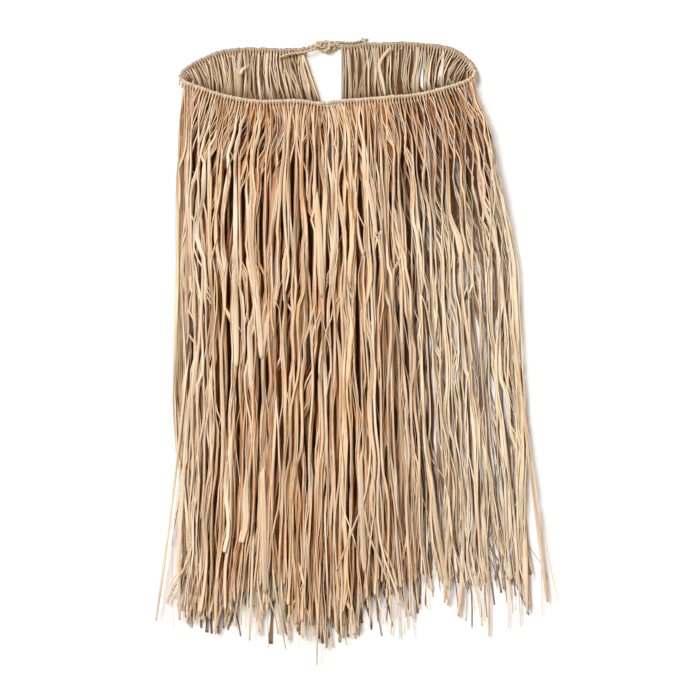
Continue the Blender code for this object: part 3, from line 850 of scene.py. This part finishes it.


def height_map(ribbons):
    """The height of the highest ribbon in each cell, averaged with the cells beside it."""
    heights = np.zeros(MAP_SIZE)
    row_y = MAP_LOW + MAP_ROW * np.arange(MAP_SIZE[0])
    for ribbon in ribbons:
        rows = np.nonzero((row_y > ribbon.y[-1]) & (row_y < ribbon.y[0]))[0]
        x, z, width = (np.interp(-row_y[rows], -ribbon.y, values)
                       for values in (ribbon.x, ribbon.z, ribbon.width))
        for share in np.linspace(-0.42, 0.42, 6):
            cells = ((x + share * width - MAP_LEFT) / MAP_CELL).astype(int)
            np.maximum.at(heights, (rows, np.clip(cells, 0, MAP_SIZE[1] - 1)), z)
    beside = [np.roll(heights, step, axis=1) for step in range(-MAP_REACH, MAP_REACH + 1)]
    return np.mean(beside, axis=0)


def sunken_shade(ribbon, rings, heights):
    """Paint shade onto a ribbon's corners where the ribbons beside them lie higher."""
    x, y, z = rings[:, :, 0], rings[:, :, 1], rings[:, :, 2]
    columns = np.clip(((x - MAP_LEFT) / MAP_CELL).astype(int), 0, MAP_SIZE[1] - 1)
    rows = np.clip(((y - MAP_LOW) / MAP_ROW).astype(int), 0, MAP_SIZE[0] - 1)
    depth = heights[rows, columns] - z
    sunken = smooth_step(depth / (SUNKEN_SHARE * np.interp(y, TOP_Y, TOP_HEIGHT)))
    sunken = sunken * (SUNKEN_PAINTED_SHADE - THIN_LESS * ribbon.thin[:, None])
    return 1 - (1 - np.clip(ribbon.shade, 0.0, 1.0)) * (1 - sunken)


def plan_ribbons():
    """Lay out every ribbon of the skirt."""
    ribbons = []
    for name, fringe in FRINGES.items():
        spread = Spread(fringe)
        hitches = hitches_of(fringe.wall)
        dice = random.Random(1000 + fringe.seed)
        ribbons += [plan_ribbon(dice, name, spread, hitches, i) for i in range(fringe.ribbons)]
    return ribbons


# A ribbon's section, folded lengthwise: how far each corner lies to the side, in half widths,
# and how high, in folds.
Corner = namedtuple("Corner", "side rise")
RIBBON_SECTION = [Corner(-1.0, -0.5), Corner(-0.5, 0.5), Corner(0.05, -0.1), Corner(0.5, 0.35),
                  Corner(1.0, -0.5), Corner(0.0, -0.4)]
RIBBON_THICKNESS = 0.16


def ribbon_rings(ribbon):
    """The corners of a ribbon at each of its rings."""
    path = np.stack([ribbon.x, ribbon.y, ribbon.z], axis=1)
    along = np.gradient(path, axis=0)
    along /= np.linalg.norm(along, axis=1)[:, None]
    side = np.cross(along, (0.0, 0.0, 1.0))
    side /= np.linalg.norm(side, axis=1)[:, None]
    up = np.cross(side, along)
    c, s = np.cos(ribbon.twist)[:, None], np.sin(ribbon.twist)[:, None]
    side, up = side * c + up * s, up * c - side * s
    half = ribbon.width[:, None] / 2
    rise = (ribbon.fold * ribbon.width)[:, None]
    corners = [path + side * half * corner.side + up * rise * corner.rise
               for corner in RIBBON_SECTION]
    for crown in corners[1:4]:
        crown += up * RIBBON_THICKNESS
    corners[5] += up * (np.minimum(rise, 0.0) * 0.5 - RIBBON_THICKNESS)
    rings = np.stack(corners, axis=1)
    lift = np.maximum(0.0, FLOOR_GAP - rings[:, :, 2].min(axis=1))
    rings[:, :, 2] += lift[:, None]
    return rings


def tube_faces(rings, sides, first):
    """Quads of closed tubes with flat ends, for one run of rings."""
    ring = np.arange(rings - 1)[:, None] * sides + np.arange(sides)[None, :]
    after = np.arange(rings - 1)[:, None] * sides + (np.arange(sides)[None, :] + 1) % sides
    quads = np.stack([ring, after, after + sides, ring + sides], axis=-1).reshape(-1, 4)
    return quads + first


def mesh_of_tubes(name, tubes, tones, sharp, shades=None):
    """One mesh of closed tubes. Each tube is an array of rings by corners by 3, in mm."""
    shades = shades or [np.zeros(tube.shape[:2]) for tube in tubes]
    verts, faces, corner_uv, tones_and_shades = [], [], [], []
    first = 0
    for rings, tone, shade in zip(tubes, tones, shades):
        count, sides = rings.shape[:2]
        verts.append(rings.reshape(-1, 3) * MM)
        quads = tube_faces(count, sides, first)
        faces += quads.tolist()
        faces.append([first + k for k in range(sides)][::-1])
        faces.append([first + (count - 1) * sides + k for k in range(sides)])
        round_length = np.linalg.norm(rings - np.roll(rings, -1, axis=1), axis=2)
        across = np.concatenate([np.zeros((count, 1)), np.cumsum(round_length, axis=1)], axis=1)
        middle = rings.mean(axis=1)
        steps = np.linalg.norm(np.diff(middle, axis=0), axis=1)
        down = np.concatenate([[0.0], np.cumsum(steps)])
        for i in range(count - 1):
            for k in range(sides):
                corner_uv += [(across[i, k], down[i]), (across[i, k + 1], down[i]),
                              (across[i + 1, k + 1], down[i + 1]), (across[i + 1, k], down[i + 1])]
        corner_uv += [(across[0, k], down[0]) for k in range(sides)][::-1]
        corner_uv += [(across[-1, k], down[-1]) for k in range(sides)]
        # Each corner keeps its tube's tone, and in the alpha its painted shade.
        tones_and_shades.append(np.column_stack([np.tile(tone, (count * sides, 1)), shade.ravel()]))
        first += count * sides
    data = bpy.data.meshes.new(name)
    data.from_pydata(np.concatenate(verts).tolist(), [], faces)
    fibre = data.uv_layers.new(name="fibre")
    fibre.data.foreach_set("uv", (np.array(corner_uv) * 0.01).ravel())
    tone_and_shade = data.color_attributes.new("tone_and_shade", "FLOAT_COLOR", "POINT")
    tone_and_shade.data.foreach_set("color", np.concatenate(tones_and_shades).ravel())
    data.shade_smooth()
    if sharp:
        data.set_sharp_from_angle(angle=math.radians(sharp))
    data.update()
    piece = bpy.data.objects.new(name, data)
    bpy.context.scene.collection.objects.link(piece)
    return piece


# The colours of raffia: three to which a ribbon's light tone may turn, the streaks, and the
# deep colour that a corner's shade value mixes in, which on the ribbons is painted shade.
Colours = namedtuple("Colours", "light dark warm grey streaks deep")


def raffia(name, colours, roughness):
    """Dry raffia: a tone for each ribbon, fine streaks along it, soft mottling and painted shade."""
    made = bpy.data.materials.new(name)
    made.use_nodes = True
    tree = made.node_tree
    nodes, links = tree.nodes, tree.links
    shader = nodes["Principled BSDF"]
    shader.inputs["Roughness"].default_value = roughness
    shader.inputs["Specular IOR Level"].default_value = 0.25

    uv = nodes.new("ShaderNodeUVMap")
    uv.uv_map = "fibre"
    tone_and_shade = nodes.new("ShaderNodeAttribute")
    tone_and_shade.attribute_name = "tone_and_shade"
    split = nodes.new("ShaderNodeSeparateXYZ")
    links.new(tone_and_shade.outputs["Vector"], split.inputs["Vector"])

    def noise(scale, detail, place):
        stretch = nodes.new("ShaderNodeVectorMath")
        stretch.operation = "MULTIPLY_ADD"
        stretch.inputs[1].default_value = scale
        links.new(uv.outputs["UV"], stretch.inputs[0])
        shift = nodes.new("ShaderNodeCombineXYZ")
        move = nodes.new("ShaderNodeMath")
        move.operation = "MULTIPLY"
        move.inputs[1].default_value = place
        links.new(split.outputs["Z"], move.inputs[0])
        links.new(move.outputs[0], shift.inputs["X"])
        links.new(move.outputs[0], shift.inputs["Y"])
        links.new(shift.outputs[0], stretch.inputs[2])
        texture = nodes.new("ShaderNodeTexNoise")
        texture.inputs["Scale"].default_value = 1.0
        texture.inputs["Detail"].default_value = detail
        links.new(stretch.outputs[0], texture.inputs["Vector"])
        return texture.outputs["Fac"]

    streak = noise((78.0, 1.3, 1.0), 3.0, 97.0)
    mottle = noise((14.0, 2.6, 1.0), 2.0, 53.0)

    def blend(first, second, amount):
        mix = nodes.new("ShaderNodeMix")
        mix.data_type = "RGBA"
        for slot, value in ((6, first), (7, second)):
            if isinstance(value, tuple):
                mix.inputs[slot].default_value = (*value, 1.0)
            else:
                links.new(value, mix.inputs[slot])
        links.new(amount, mix.inputs[0])
        return mix.outputs[2]

    def ramp(source, low, high):
        reach = nodes.new("ShaderNodeMapRange")
        reach.inputs["From Min"].default_value = low
        reach.inputs["From Max"].default_value = high
        links.new(source, reach.inputs["Value"])
        return reach.outputs["Result"]

    toned = blend(colours.light, colours.dark, ramp(split.outputs["X"], 0.25, 1.15))
    warmed = blend(toned, colours.warm, ramp(split.outputs["Y"], 0.55, 1.6))
    greyed = blend(warmed, colours.grey, ramp(split.outputs["Z"], 0.6, 1.7))
    mottled = blend(greyed, colours.dark, ramp(mottle, 0.5, 1.1))
    streaked = blend(mottled, colours.streaks, ramp(streak, 0.47, 0.82))
    # Painted shade: the shade in the attribute's alpha mixes in the deep colour.
    shaded = blend(streaked, colours.deep, ramp(tone_and_shade.outputs["Alpha"], 0.1, 1.0))
    links.new(shaded, shader.inputs["Base Color"])
    bump = nodes.new("ShaderNodeBump")
    bump.inputs["Strength"].default_value = 0.35
    bump.inputs["Distance"].default_value = 0.0002
    links.new(streak, bump.inputs["Height"])
    links.new(bump.outputs["Normal"], shader.inputs["Normal"])
    return made


def dress(piece, material):
    """Give a piece its material, and let it ride on the skirt."""
    piece.data.materials.append(material)
    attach(piece, "root")


def build_ribbons(front, back):
    """Every ribbon of the fringe, one piece for each fringe solid."""
    ribbons = plan_ribbons()
    heights = height_map(ribbons)
    for name, fringe in FRINGES.items():
        chosen = [ribbon for ribbon in ribbons if ribbon.fringe == name]
        tubes = [ribbon_rings(ribbon) for ribbon in chosen]
        shades = [sunken_shade(ribbon, rings, heights)
                  for ribbon, rings in zip(chosen, tubes)]
        piece = mesh_of_tubes("raffia_" + name, tubes, [r.tone for r in chosen], 100, shades)
        on_front = fringe.wall == "front"
        dress(piece, front if on_front else back)
        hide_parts(name)


def oval_ring(centre, across, over, width, thick, sides):
    """Corners of an oval section."""
    ring = []
    for k in range(sides):
        angle = 2 * math.pi * k / sides
        ring.append(centre + across * (width / 2 * math.cos(angle))
                    + over * (thick / 2 * math.sin(angle)))
    return ring


# The tooth below each hitch: distance along it, height over the cord's middle, width, depth.
Tooth = namedtuple("Tooth", "reach rise width thick")
TOOTH = [Tooth(1.0, 0.6, 2.6, 1.6), Tooth(2.6, 0.2, 1.9, 1.8), Tooth(5.0, 0.0, 2.0, 1.7),
         Tooth(7.4, -0.2, 1.8, 0.9)]
TOOTH_TURN = 6.0                       # the reach at which a tooth faces the way it leans
WRAP_DEGREES = (215, 180, 145, 110, 80, 50, 25)
WRAP_WIDTH, WRAP_THICKNESS = 4.3, 0.8
HITCH_SIDES = 8
HITCH_SIZE = (0.74, 1.16)
HITCH_SHIFT = (-0.5, 0.5)              # how far a hitch sits out of line

# How brown a hitch is behind the cord, over it and before it, on the front and on the back.
HitchShade = namedtuple("HitchShade", "behind over before")
FRONT_HITCH, BACK_HITCH = HitchShade(0.15, 0.0, 0.1), HitchShade(1.0, 0.45, 0.25)


def hitch_rings(hitch, size, shift):
    """The sections of one hitch: a wrap over the cord, then a narrow tooth."""
    up = Vector((0, 0, 1))
    radius = CORD_RADIUS - 0.3
    hemward = hitch.hemward
    spot = hitch.spot + hemward * shift
    lean = Vector((hitch.lean, -1.0, 0.0)).normalized()
    square = Vector((-lean.y, lean.x, 0.0))
    rings = []
    for degrees in WRAP_DEGREES:
        angle = math.radians(degrees)
        out = hemward * math.cos(angle) + up * math.sin(angle)
        rings.append(oval_ring(spot + out * radius, hitch.along, out, WRAP_WIDTH * size,
                               WRAP_THICKNESS, HITCH_SIDES))
    for tooth in TOOTH:
        turned = tooth.reach / TOOTH_TURN
        across = (hitch.along * (1 - turned) + square * turned).normalized()
        centre = spot + hemward * radius * 0.9 + lean * tooth.reach + up * tooth.rise
        rings.append(oval_ring(centre, across, up, tooth.width * size, tooth.thick, HITCH_SIDES))
    return np.array([[list(v) for v in ring] for ring in rings])


def hitch_shade(rings, look):
    """How dark each corner of a hitch is. Its two sides are darkest: painted shade in the slots between
    the teeth.
    """
    shade = np.zeros(rings.shape[:2])
    shade[:3] = look.behind
    shade[3:5] = look.over
    shade[5:7] = look.before
    # Painted shade on the sides of the wrap and, fully, on the sides of the tooth.
    sides = shade[:, ::HITCH_SIDES // 2]
    np.maximum(sides, 0.6, out=sides)
    sides[6:] = 1.0
    return shade


def build_hitches(material):
    """A row of hitches over the cord: each wraps the cord and ends as a narrow tooth."""
    dice = random.Random(5)
    tubes, tones, shades = [], [], []
    for wall in WALLS:
        for hitch in hitches_of(wall):
            rings = hitch_rings(hitch, dice.uniform(*HITCH_SIZE), dice.uniform(*HITCH_SHIFT))
            tubes.append(rings)
            tones.append((dice.random() * 0.8, dice.random() * 0.8, dice.random()))
            shades.append(hitch_shade(rings, FRONT_HITCH if wall == "front" else BACK_HITCH))
    piece = mesh_of_tubes("hitches", tubes, tones, None, shades)
    dress(piece, material)


def ply_tubes(points, radius, turn, plies, sides, closed=False):
    """Twisted plies that follow a centre line given as an array of points in mm."""
    along = np.gradient(points, axis=0)
    if closed:
        along = np.roll(points, -1, axis=0) - np.roll(points, 1, axis=0)
    along /= np.linalg.norm(along, axis=1)[:, None]
    side = np.cross(along, (0.0, 0.0, 1.0))
    side /= np.linalg.norm(side, axis=1)[:, None]
    over = np.cross(side, along)
    steps = np.linalg.norm(np.diff(points, axis=0), axis=1)
    gone = np.concatenate([[0.0], np.cumsum(steps)])
    ply_radius = radius * 0.6
    swing = radius - ply_radius
    tubes = []
    for ply in range(plies):
        angle = 2 * math.pi * (gone / turn + ply / plies)
        centre = (points + side * (swing * np.cos(angle))[:, None]
                  + over * (swing * np.sin(angle))[:, None])
        rings = []
        for k in range(sides):
            around = 2 * math.pi * k / sides
            rings.append(centre + side * (ply_radius * math.cos(around))
                         + over * (ply_radius * math.sin(around)))
        tubes.append(np.stack(rings, axis=1))
    return tubes


def sample_curve(rows, spacing):
    """Points along the smooth curve through a table's rows, evenly spaced, in mm."""
    fine = np.array([list(spline_point(rows, t))
                     for t in np.linspace(0, len(rows) - 1, (len(rows) - 1) * 24 + 1)])
    steps = np.linalg.norm(np.diff(fine, axis=0), axis=1)
    gone = np.concatenate([[0.0], np.cumsum(steps)])
    at = np.linspace(0, gone[-1], max(4, int(gone[-1] / spacing)) + 1)
    return np.stack([np.interp(at, gone, fine[:, k]) for k in range(3)], axis=1)


def build_cord(material):
    """The two-ply waist cord."""
    points = sample_curve(WAIST, 1.3)
    tubes = ply_tubes(points, CORD_RADIUS, PLY_TURN, 2, PLY_SIDES)
    piece = mesh_of_tubes("twisted_cord", tubes, [(0.5, 0.4, 0.2), (0.7, 0.5, 0.7)], None)
    dress(piece, material)
    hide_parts("waist_cord")


def knot_path(steps):
    """The knot's curve: one strand laid over and under itself in three lobes."""
    turn = np.linspace(0, 2 * math.pi, steps + 1)
    swing = np.stack([np.sin(turn) + 2 * np.sin(2 * turn), np.cos(turn) - 2 * np.cos(2 * turn),
                      -np.sin(3 * turn)], axis=1)
    return np.array(KNOT_CENTRE) + swing * np.array(KNOT_REACH)


# Loose ribbons, listed one by one: where each lies in plan, its width and tone. They lie on top.
Loose = namedtuple("Loose", "points width tone")
LOOSE_ENDS = [
    Loose([(-152.0, 359.0), (-149.5, 365.5), (-143.5, 369.5)], 4.2, 0.0),
    Loose([(-70.8, 384.0), (-61.0, 356.0), (-50.0, 325.5)], 2.6, 0.45),
    Loose([(0.7, 265.0), (8.5, 232.7), (17.6, 196.3), (24.0, 150.0)], 6.4, 0.0),
    Loose([(191.8, 66.3), (211.3, -63.7), (233.4, -193.7), (260.0, -326.3)], 1.0, 0.3),
    Loose([(196.0, 20.0), (222.0, -110.0), (237.0, -230.0), (240.0, -345.0)], 1.2, 0.2),
    Loose([(-217.0, 20.0), (-232.0, -130.0), (-246.0, -240.0), (-261.5, -350.0)], 3.6, 0.1),
    Loose([(-221.0, -90.0), (-229.0, -200.0), (-234.0, -275.0), (-231.0, -340.0)], 2.4, 0.3),
    Loose([(186.0, -150.0), (192.0, -260.0), (196.5, -360.0)], 1.6, 0.2),
    Loose([(202.0, -180.0), (208.0, -270.0), (211.5, -357.0)], 1.6, 0.3),
    Loose([(41.5, 392.0), (33.0, 382.0), (28.0, 371.0), (32.0, 352.0), (36.0, 331.0)], 4.4, 0.5),
    Loose([(-214.0, -20.0), (-226.0, -170.0), (-231.0, -270.0), (-230.8, -349.0)], 4.8, 0.2),
    Loose([(-219.0, -60.0), (-235.0, -200.0), (-240.0, -268.0), (-239.0, -360.0)], 0.9, 0.1),
    Loose([(196.0, 70.0), (213.0, -60.0), (229.0, -190.0), (247.0, -326.0)], 4.0, 0.7),
    Loose([(-133.0, -200.0), (-137.0, -300.0), (-139.8, -375.0)], 3.2, 0.1),
    Loose([(138.0, -220.0), (135.5, -290.0), (131.0, -345.0)], 5.2, 0.1),
    Loose([(119.0, -200.0), (115.0, -270.0), (113.0, -327.0)], 4.0, 0.4),
    Loose([(163.0, -200.0), (170.0, -290.0), (171.0, -371.0)], 2.8, 0.1),
    Loose([(-114.0, -250.0), (-103.0, -330.0), (-93.0, -386.0)], 2.6, 0.2),
    Loose([(-110.0, -270.0), (-116.0, -335.0), (-115.0, -384.0)], 1.4, 0.1),
    Loose([(216.0, -200.0), (220.0, -280.0), (220.4, -342.0)], 3.4, 0.2),
    Loose([(0.0, -90.0), (5.0, -190.0), (9.0, -286.0)], 7.5, 0.0),
    Loose([(88.0, -120.0), (101.0, -215.0), (117.0, -308.0)], 7.5, 0.0),
    Loose([(-125.0, -110.0), (-121.0, -220.0), (-119.5, -313.0)], 7.5, 0.0),
    Loose([(-142.0, 230.0), (-138.0, 144.0), (-131.0, 79.0), (-124.0, -10.0)], 8.0, 0.0),
    Loose([(-161.0, 150.0), (-157.0, 60.0), (-156.0, -20.0)], 7.0, 0.0),
    Loose([(-60.0, 245.0), (-50.0, 160.0), (-46.0, 70.0)], 7.5, 0.0),
    Loose([(-46.2, -230.0), (-51.4, -349.7), (-52.7, -407.5)], 2.2, 0.3),
    Loose([(19.0, -90.0), (11.0, -180.7), (-7.2, -232.7), (-27.0, -284.0)], 2.6, 0.0),
    Loose([(4.0, -160.0), (13.7, -232.7), (29.3, -271.7), (45.0, -312.0)], 2.8, 0.1),
    Loose([(-205.0, 215.0), (-200.0, 120.0), (-203.0, 40.0), (-212.0, -60.0)], 3.4, 0.0),
]


LOOSE_SPACING = 6.0
LOOP_FROM = 355.0                      # loose ribbons that start above this y lie in the loop
LOOP_HEIGHT = 8.0
# Painted shade of a loose ribbon's six corners: its edges, crease and underside.
LOOSE_SHADE = (0.5, 0.0, 0.3, 0.0, 0.6, 0.6)


def loose_height(x, y):
    """The height of a loose ribbon: on top of the fringe, and tucked in where it starts."""
    if y[0] > LOOP_FROM:
        return np.full(len(x), LOOP_HEIGHT)
    sparse = np.maximum(smooth_step((x + 23.0) / 179.0),
                        LEFT_THINNESS * smooth_step((-155.0 - x) / 83.0))
    z = np.interp(y, TOP_Y, TOP_HEIGHT) * lowering(sparse, y) + 0.5
    return z * (0.15 + 0.85 * smooth_step(np.arange(len(x)) / 9.0))


def build_loose_ends(material):
    """The loose ribbons and fibres that stand out from the fringe."""
    tubes, tones, shades = [], [], []
    for i, loose in enumerate(LOOSE_ENDS):
        plan = sample_curve([(x, y, 0.0) for x, y in loose.points], LOOSE_SPACING)
        x, y = plan[:, 0], plan[:, 1]
        ends = np.minimum(1.0, np.arange(len(x), 0, -1) / 4.0)
        ribbon = Ribbon(x, y, loose_height(x, y), loose.width * (0.4 + 0.6 * ends), 0.2,
                        0.3 * np.sin(y / 37.0 + i), (loose.tone, loose.tone, 0.1 * i), None, None, None)
        tubes.append(ribbon_rings(ribbon))
        tones.append(ribbon.tone)
        shades.append(np.tile(LOOSE_SHADE, (len(x), 1)))
    piece = mesh_of_tubes("loose_ends", tubes, tones, 100, shades)
    dress(piece, material)


WRAP_CENTRE = (-50.5, 398.6, 5.4)
OVER_STRAND = [(-49.0, 396.5, 6.0), (-44.5, 401.3, 7.6), (-38.5, 402.6, 7.2), (-32.0, 400.4, 5.6),
               (-25.5, 397.8, 4.6), (-18.0, 397.4, 3.4)]
CROSS_STRAND = [(-47.0, 401.5, 4.6), (-42.0, 397.2, 6.4), (-35.0, 396.4, 6.6), (-28.5, 398.6, 5.6),
                (-22.0, 401.8, 3.6)]
CUT_STUB = [(11.0, 398.0, 4.4), (9.6, 401.4, 5.2), (7.4, 404.4, 5.0), (5.4, 406.8, 4.4)]
SLACK_LOOP = [(-46.0, 395.4, 4.6), (-42.5, 392.0, 3.2), (-37.0, 390.8, 2.8), (-31.5, 392.0, 3.2),
              (-28.8, 395.2, 4.4), (-33.0, 396.8, 5.6)]
END_STRAND = [(-62.0, 395.4, 4.4), (-57.0, 397.2, 5.6), (-51.0, 399.2, 6.4)]

# The knot's strands, each with its thickness, the length of a turn and its number of plies.
Strand = namedtuple("Strand", "points radius turn plies")
STRANDS = [
    Strand(SLACK_LOOP, 1.6, 9.0, 2),
    Strand(END_STRAND, 2.2, 12.0, 2),
    Strand(OVER_STRAND, 1.9, 12.0, 2),
    Strand(CROSS_STRAND, 1.7, 11.0, 2),
    Strand(CUT_STUB, 2.1, 16.0, 3),
]
STRAND_SPACING = 0.8


def build_knot(material):
    """The knot between the cord's two ends: the crossing strand, a wrap and loose strands."""
    tubes = ply_tubes(knot_path(110), KNOT_RADIUS + 0.5, 12.0, 2, PLY_SIDES, closed=True)
    turn = np.linspace(0.0, 5.2 * math.pi, 90)
    wrap = np.stack([WRAP_CENTRE[0] + 1.3 * turn / math.pi - 3.2 + 0.8 * np.cos(turn),
                     WRAP_CENTRE[1] + 4.0 * np.cos(turn),
                     WRAP_CENTRE[2] + 3.6 * np.sin(turn)], axis=1)
    tubes += ply_tubes(wrap, 1.3, 9.0, 2, PLY_SIDES)
    for strand in STRANDS:
        points = sample_curve(strand.points, STRAND_SPACING)
        tubes += ply_tubes(points, strand.radius, strand.turn, strand.plies, PLY_SIDES)
    tones = [(0.2 + 0.05 * i, 0.5, 0.15 * i) for i in range(len(tubes))]
    piece = mesh_of_tubes("cord_knot", tubes, tones, None)
    dress(piece, material)
    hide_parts("back_knot")


def build_tails(material):
    """The two free cord ends."""
    for name, rows in TAILS.items():
        points = sample_curve(rows, 1.0)
        tubes = ply_tubes(points, TAIL_RADIUS, 9.0, 2, PLY_SIDES)
        piece = mesh_of_tubes("cord_end_" + name.rsplit("_", 1)[1], tubes,
                              [(0.6, 0.4, 0.3), (0.5, 0.6, 0.9)], None)
        dress(piece, material)
        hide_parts(name)


def build_floor():
    """A plain pale floor."""
    data = bpy.data.meshes.new("floor")
    half = 6.0
    data.from_pydata([(-half, -half, 0), (half, -half, 0), (half, half, 0), (-half, half, 0)],
                     [], [(0, 1, 2, 3)])
    floor = bpy.data.objects.new("floor", data)
    bpy.context.scene.collection.objects.link(floor)
    made = bpy.data.materials.new("floor_paper")
    made.use_nodes = True
    shader = made.node_tree.nodes["Principled BSDF"]
    shader.inputs["Base Color"].default_value = (0.93, 0.93, 0.94, 1.0)
    shader.inputs["Roughness"].default_value = 0.9
    shader.inputs["Specular IOR Level"].default_value = 0.1
    data.materials.append(made)


def area_light(name, place, aim, size, power, colour):
    """A soft square light."""
    data = bpy.data.lights.new(name, "AREA")
    data.size = size
    data.energy = power
    data.color = colour
    light = bpy.data.objects.new(name, data)
    light.location = place
    light.rotation_euler = (Vector(aim) - Vector(place)).to_track_quat("-Z", "Y").to_euler()
    bpy.context.scene.collection.objects.link(light)


def build_lights():
    """A soft key light from the upper left and an even pale surround."""
    area_light("key", (-4.8, 4.2, 6.6), (0.0, 0.0, 0.0), 5.4, 1125.0, (1.0, 0.985, 0.965))
    world = bpy.data.worlds.new("surround")
    world.use_nodes = True
    back = world.node_tree.nodes["Background"]
    back.inputs["Color"].default_value = (1.0, 0.95, 0.88, 1.0)
    back.inputs["Strength"].default_value = 0.4
    bpy.context.scene.world = world
    bpy.context.scene.view_settings.view_transform = "Standard"


def build_camera():
    """The camera, straight above the skirt."""
    data = bpy.data.cameras.new("camera")
    data.lens = LENS
    data.sensor_width = SENSOR
    camera = bpy.data.objects.new("camera", data)
    distance = PICTURE_SIZE * PHOTO_PIXEL * LENS / SENSOR
    camera.location = Vector((*VIEW_CENTRE, VIEW_HEIGHT + distance)) * MM
    camera.rotation_euler = (0.0, 0.0, 0.0)
    bpy.context.scene.collection.objects.link(camera)
    bpy.context.scene.camera = camera


build_camera()
build_floor()
build_lights()
# The deep colours are the painted shade of the ribbons; the back's is darkest, for its lowest layer
# seen in the gaps.
front_raffia = raffia("raffia_front", Colours(
    light=(0.83, 0.745, 0.59), dark=(0.66, 0.375, 0.13), warm=(0.82, 0.51, 0.19),
    grey=(0.71, 0.60, 0.45), streaks=(0.60, 0.27, 0.06), deep=(0.43, 0.145, 0.022)), 0.5)
back_raffia = raffia("raffia_back", Colours(
    light=(0.86, 0.75, 0.565), dark=(0.62, 0.35, 0.12), warm=(0.79, 0.49, 0.17),
    grey=(0.71, 0.60, 0.44), streaks=(0.54, 0.24, 0.055), deep=(0.12, 0.042, 0.011)), 0.55)
cord_raffia = raffia("raffia_cord", Colours(
    light=(0.72, 0.57, 0.41), dark=(0.48, 0.32, 0.19), warm=(0.58, 0.37, 0.18),
    grey=(0.54, 0.47, 0.36), streaks=(0.36, 0.23, 0.11), deep=(0.17, 0.09, 0.04)), 0.55)
build_tails(cord_raffia)
build_knot(cord_raffia)
build_cord(cord_raffia)
build_hitches(cord_raffia)
build_ribbons(front_raffia, back_raffia)
build_loose_ends(front_raffia)
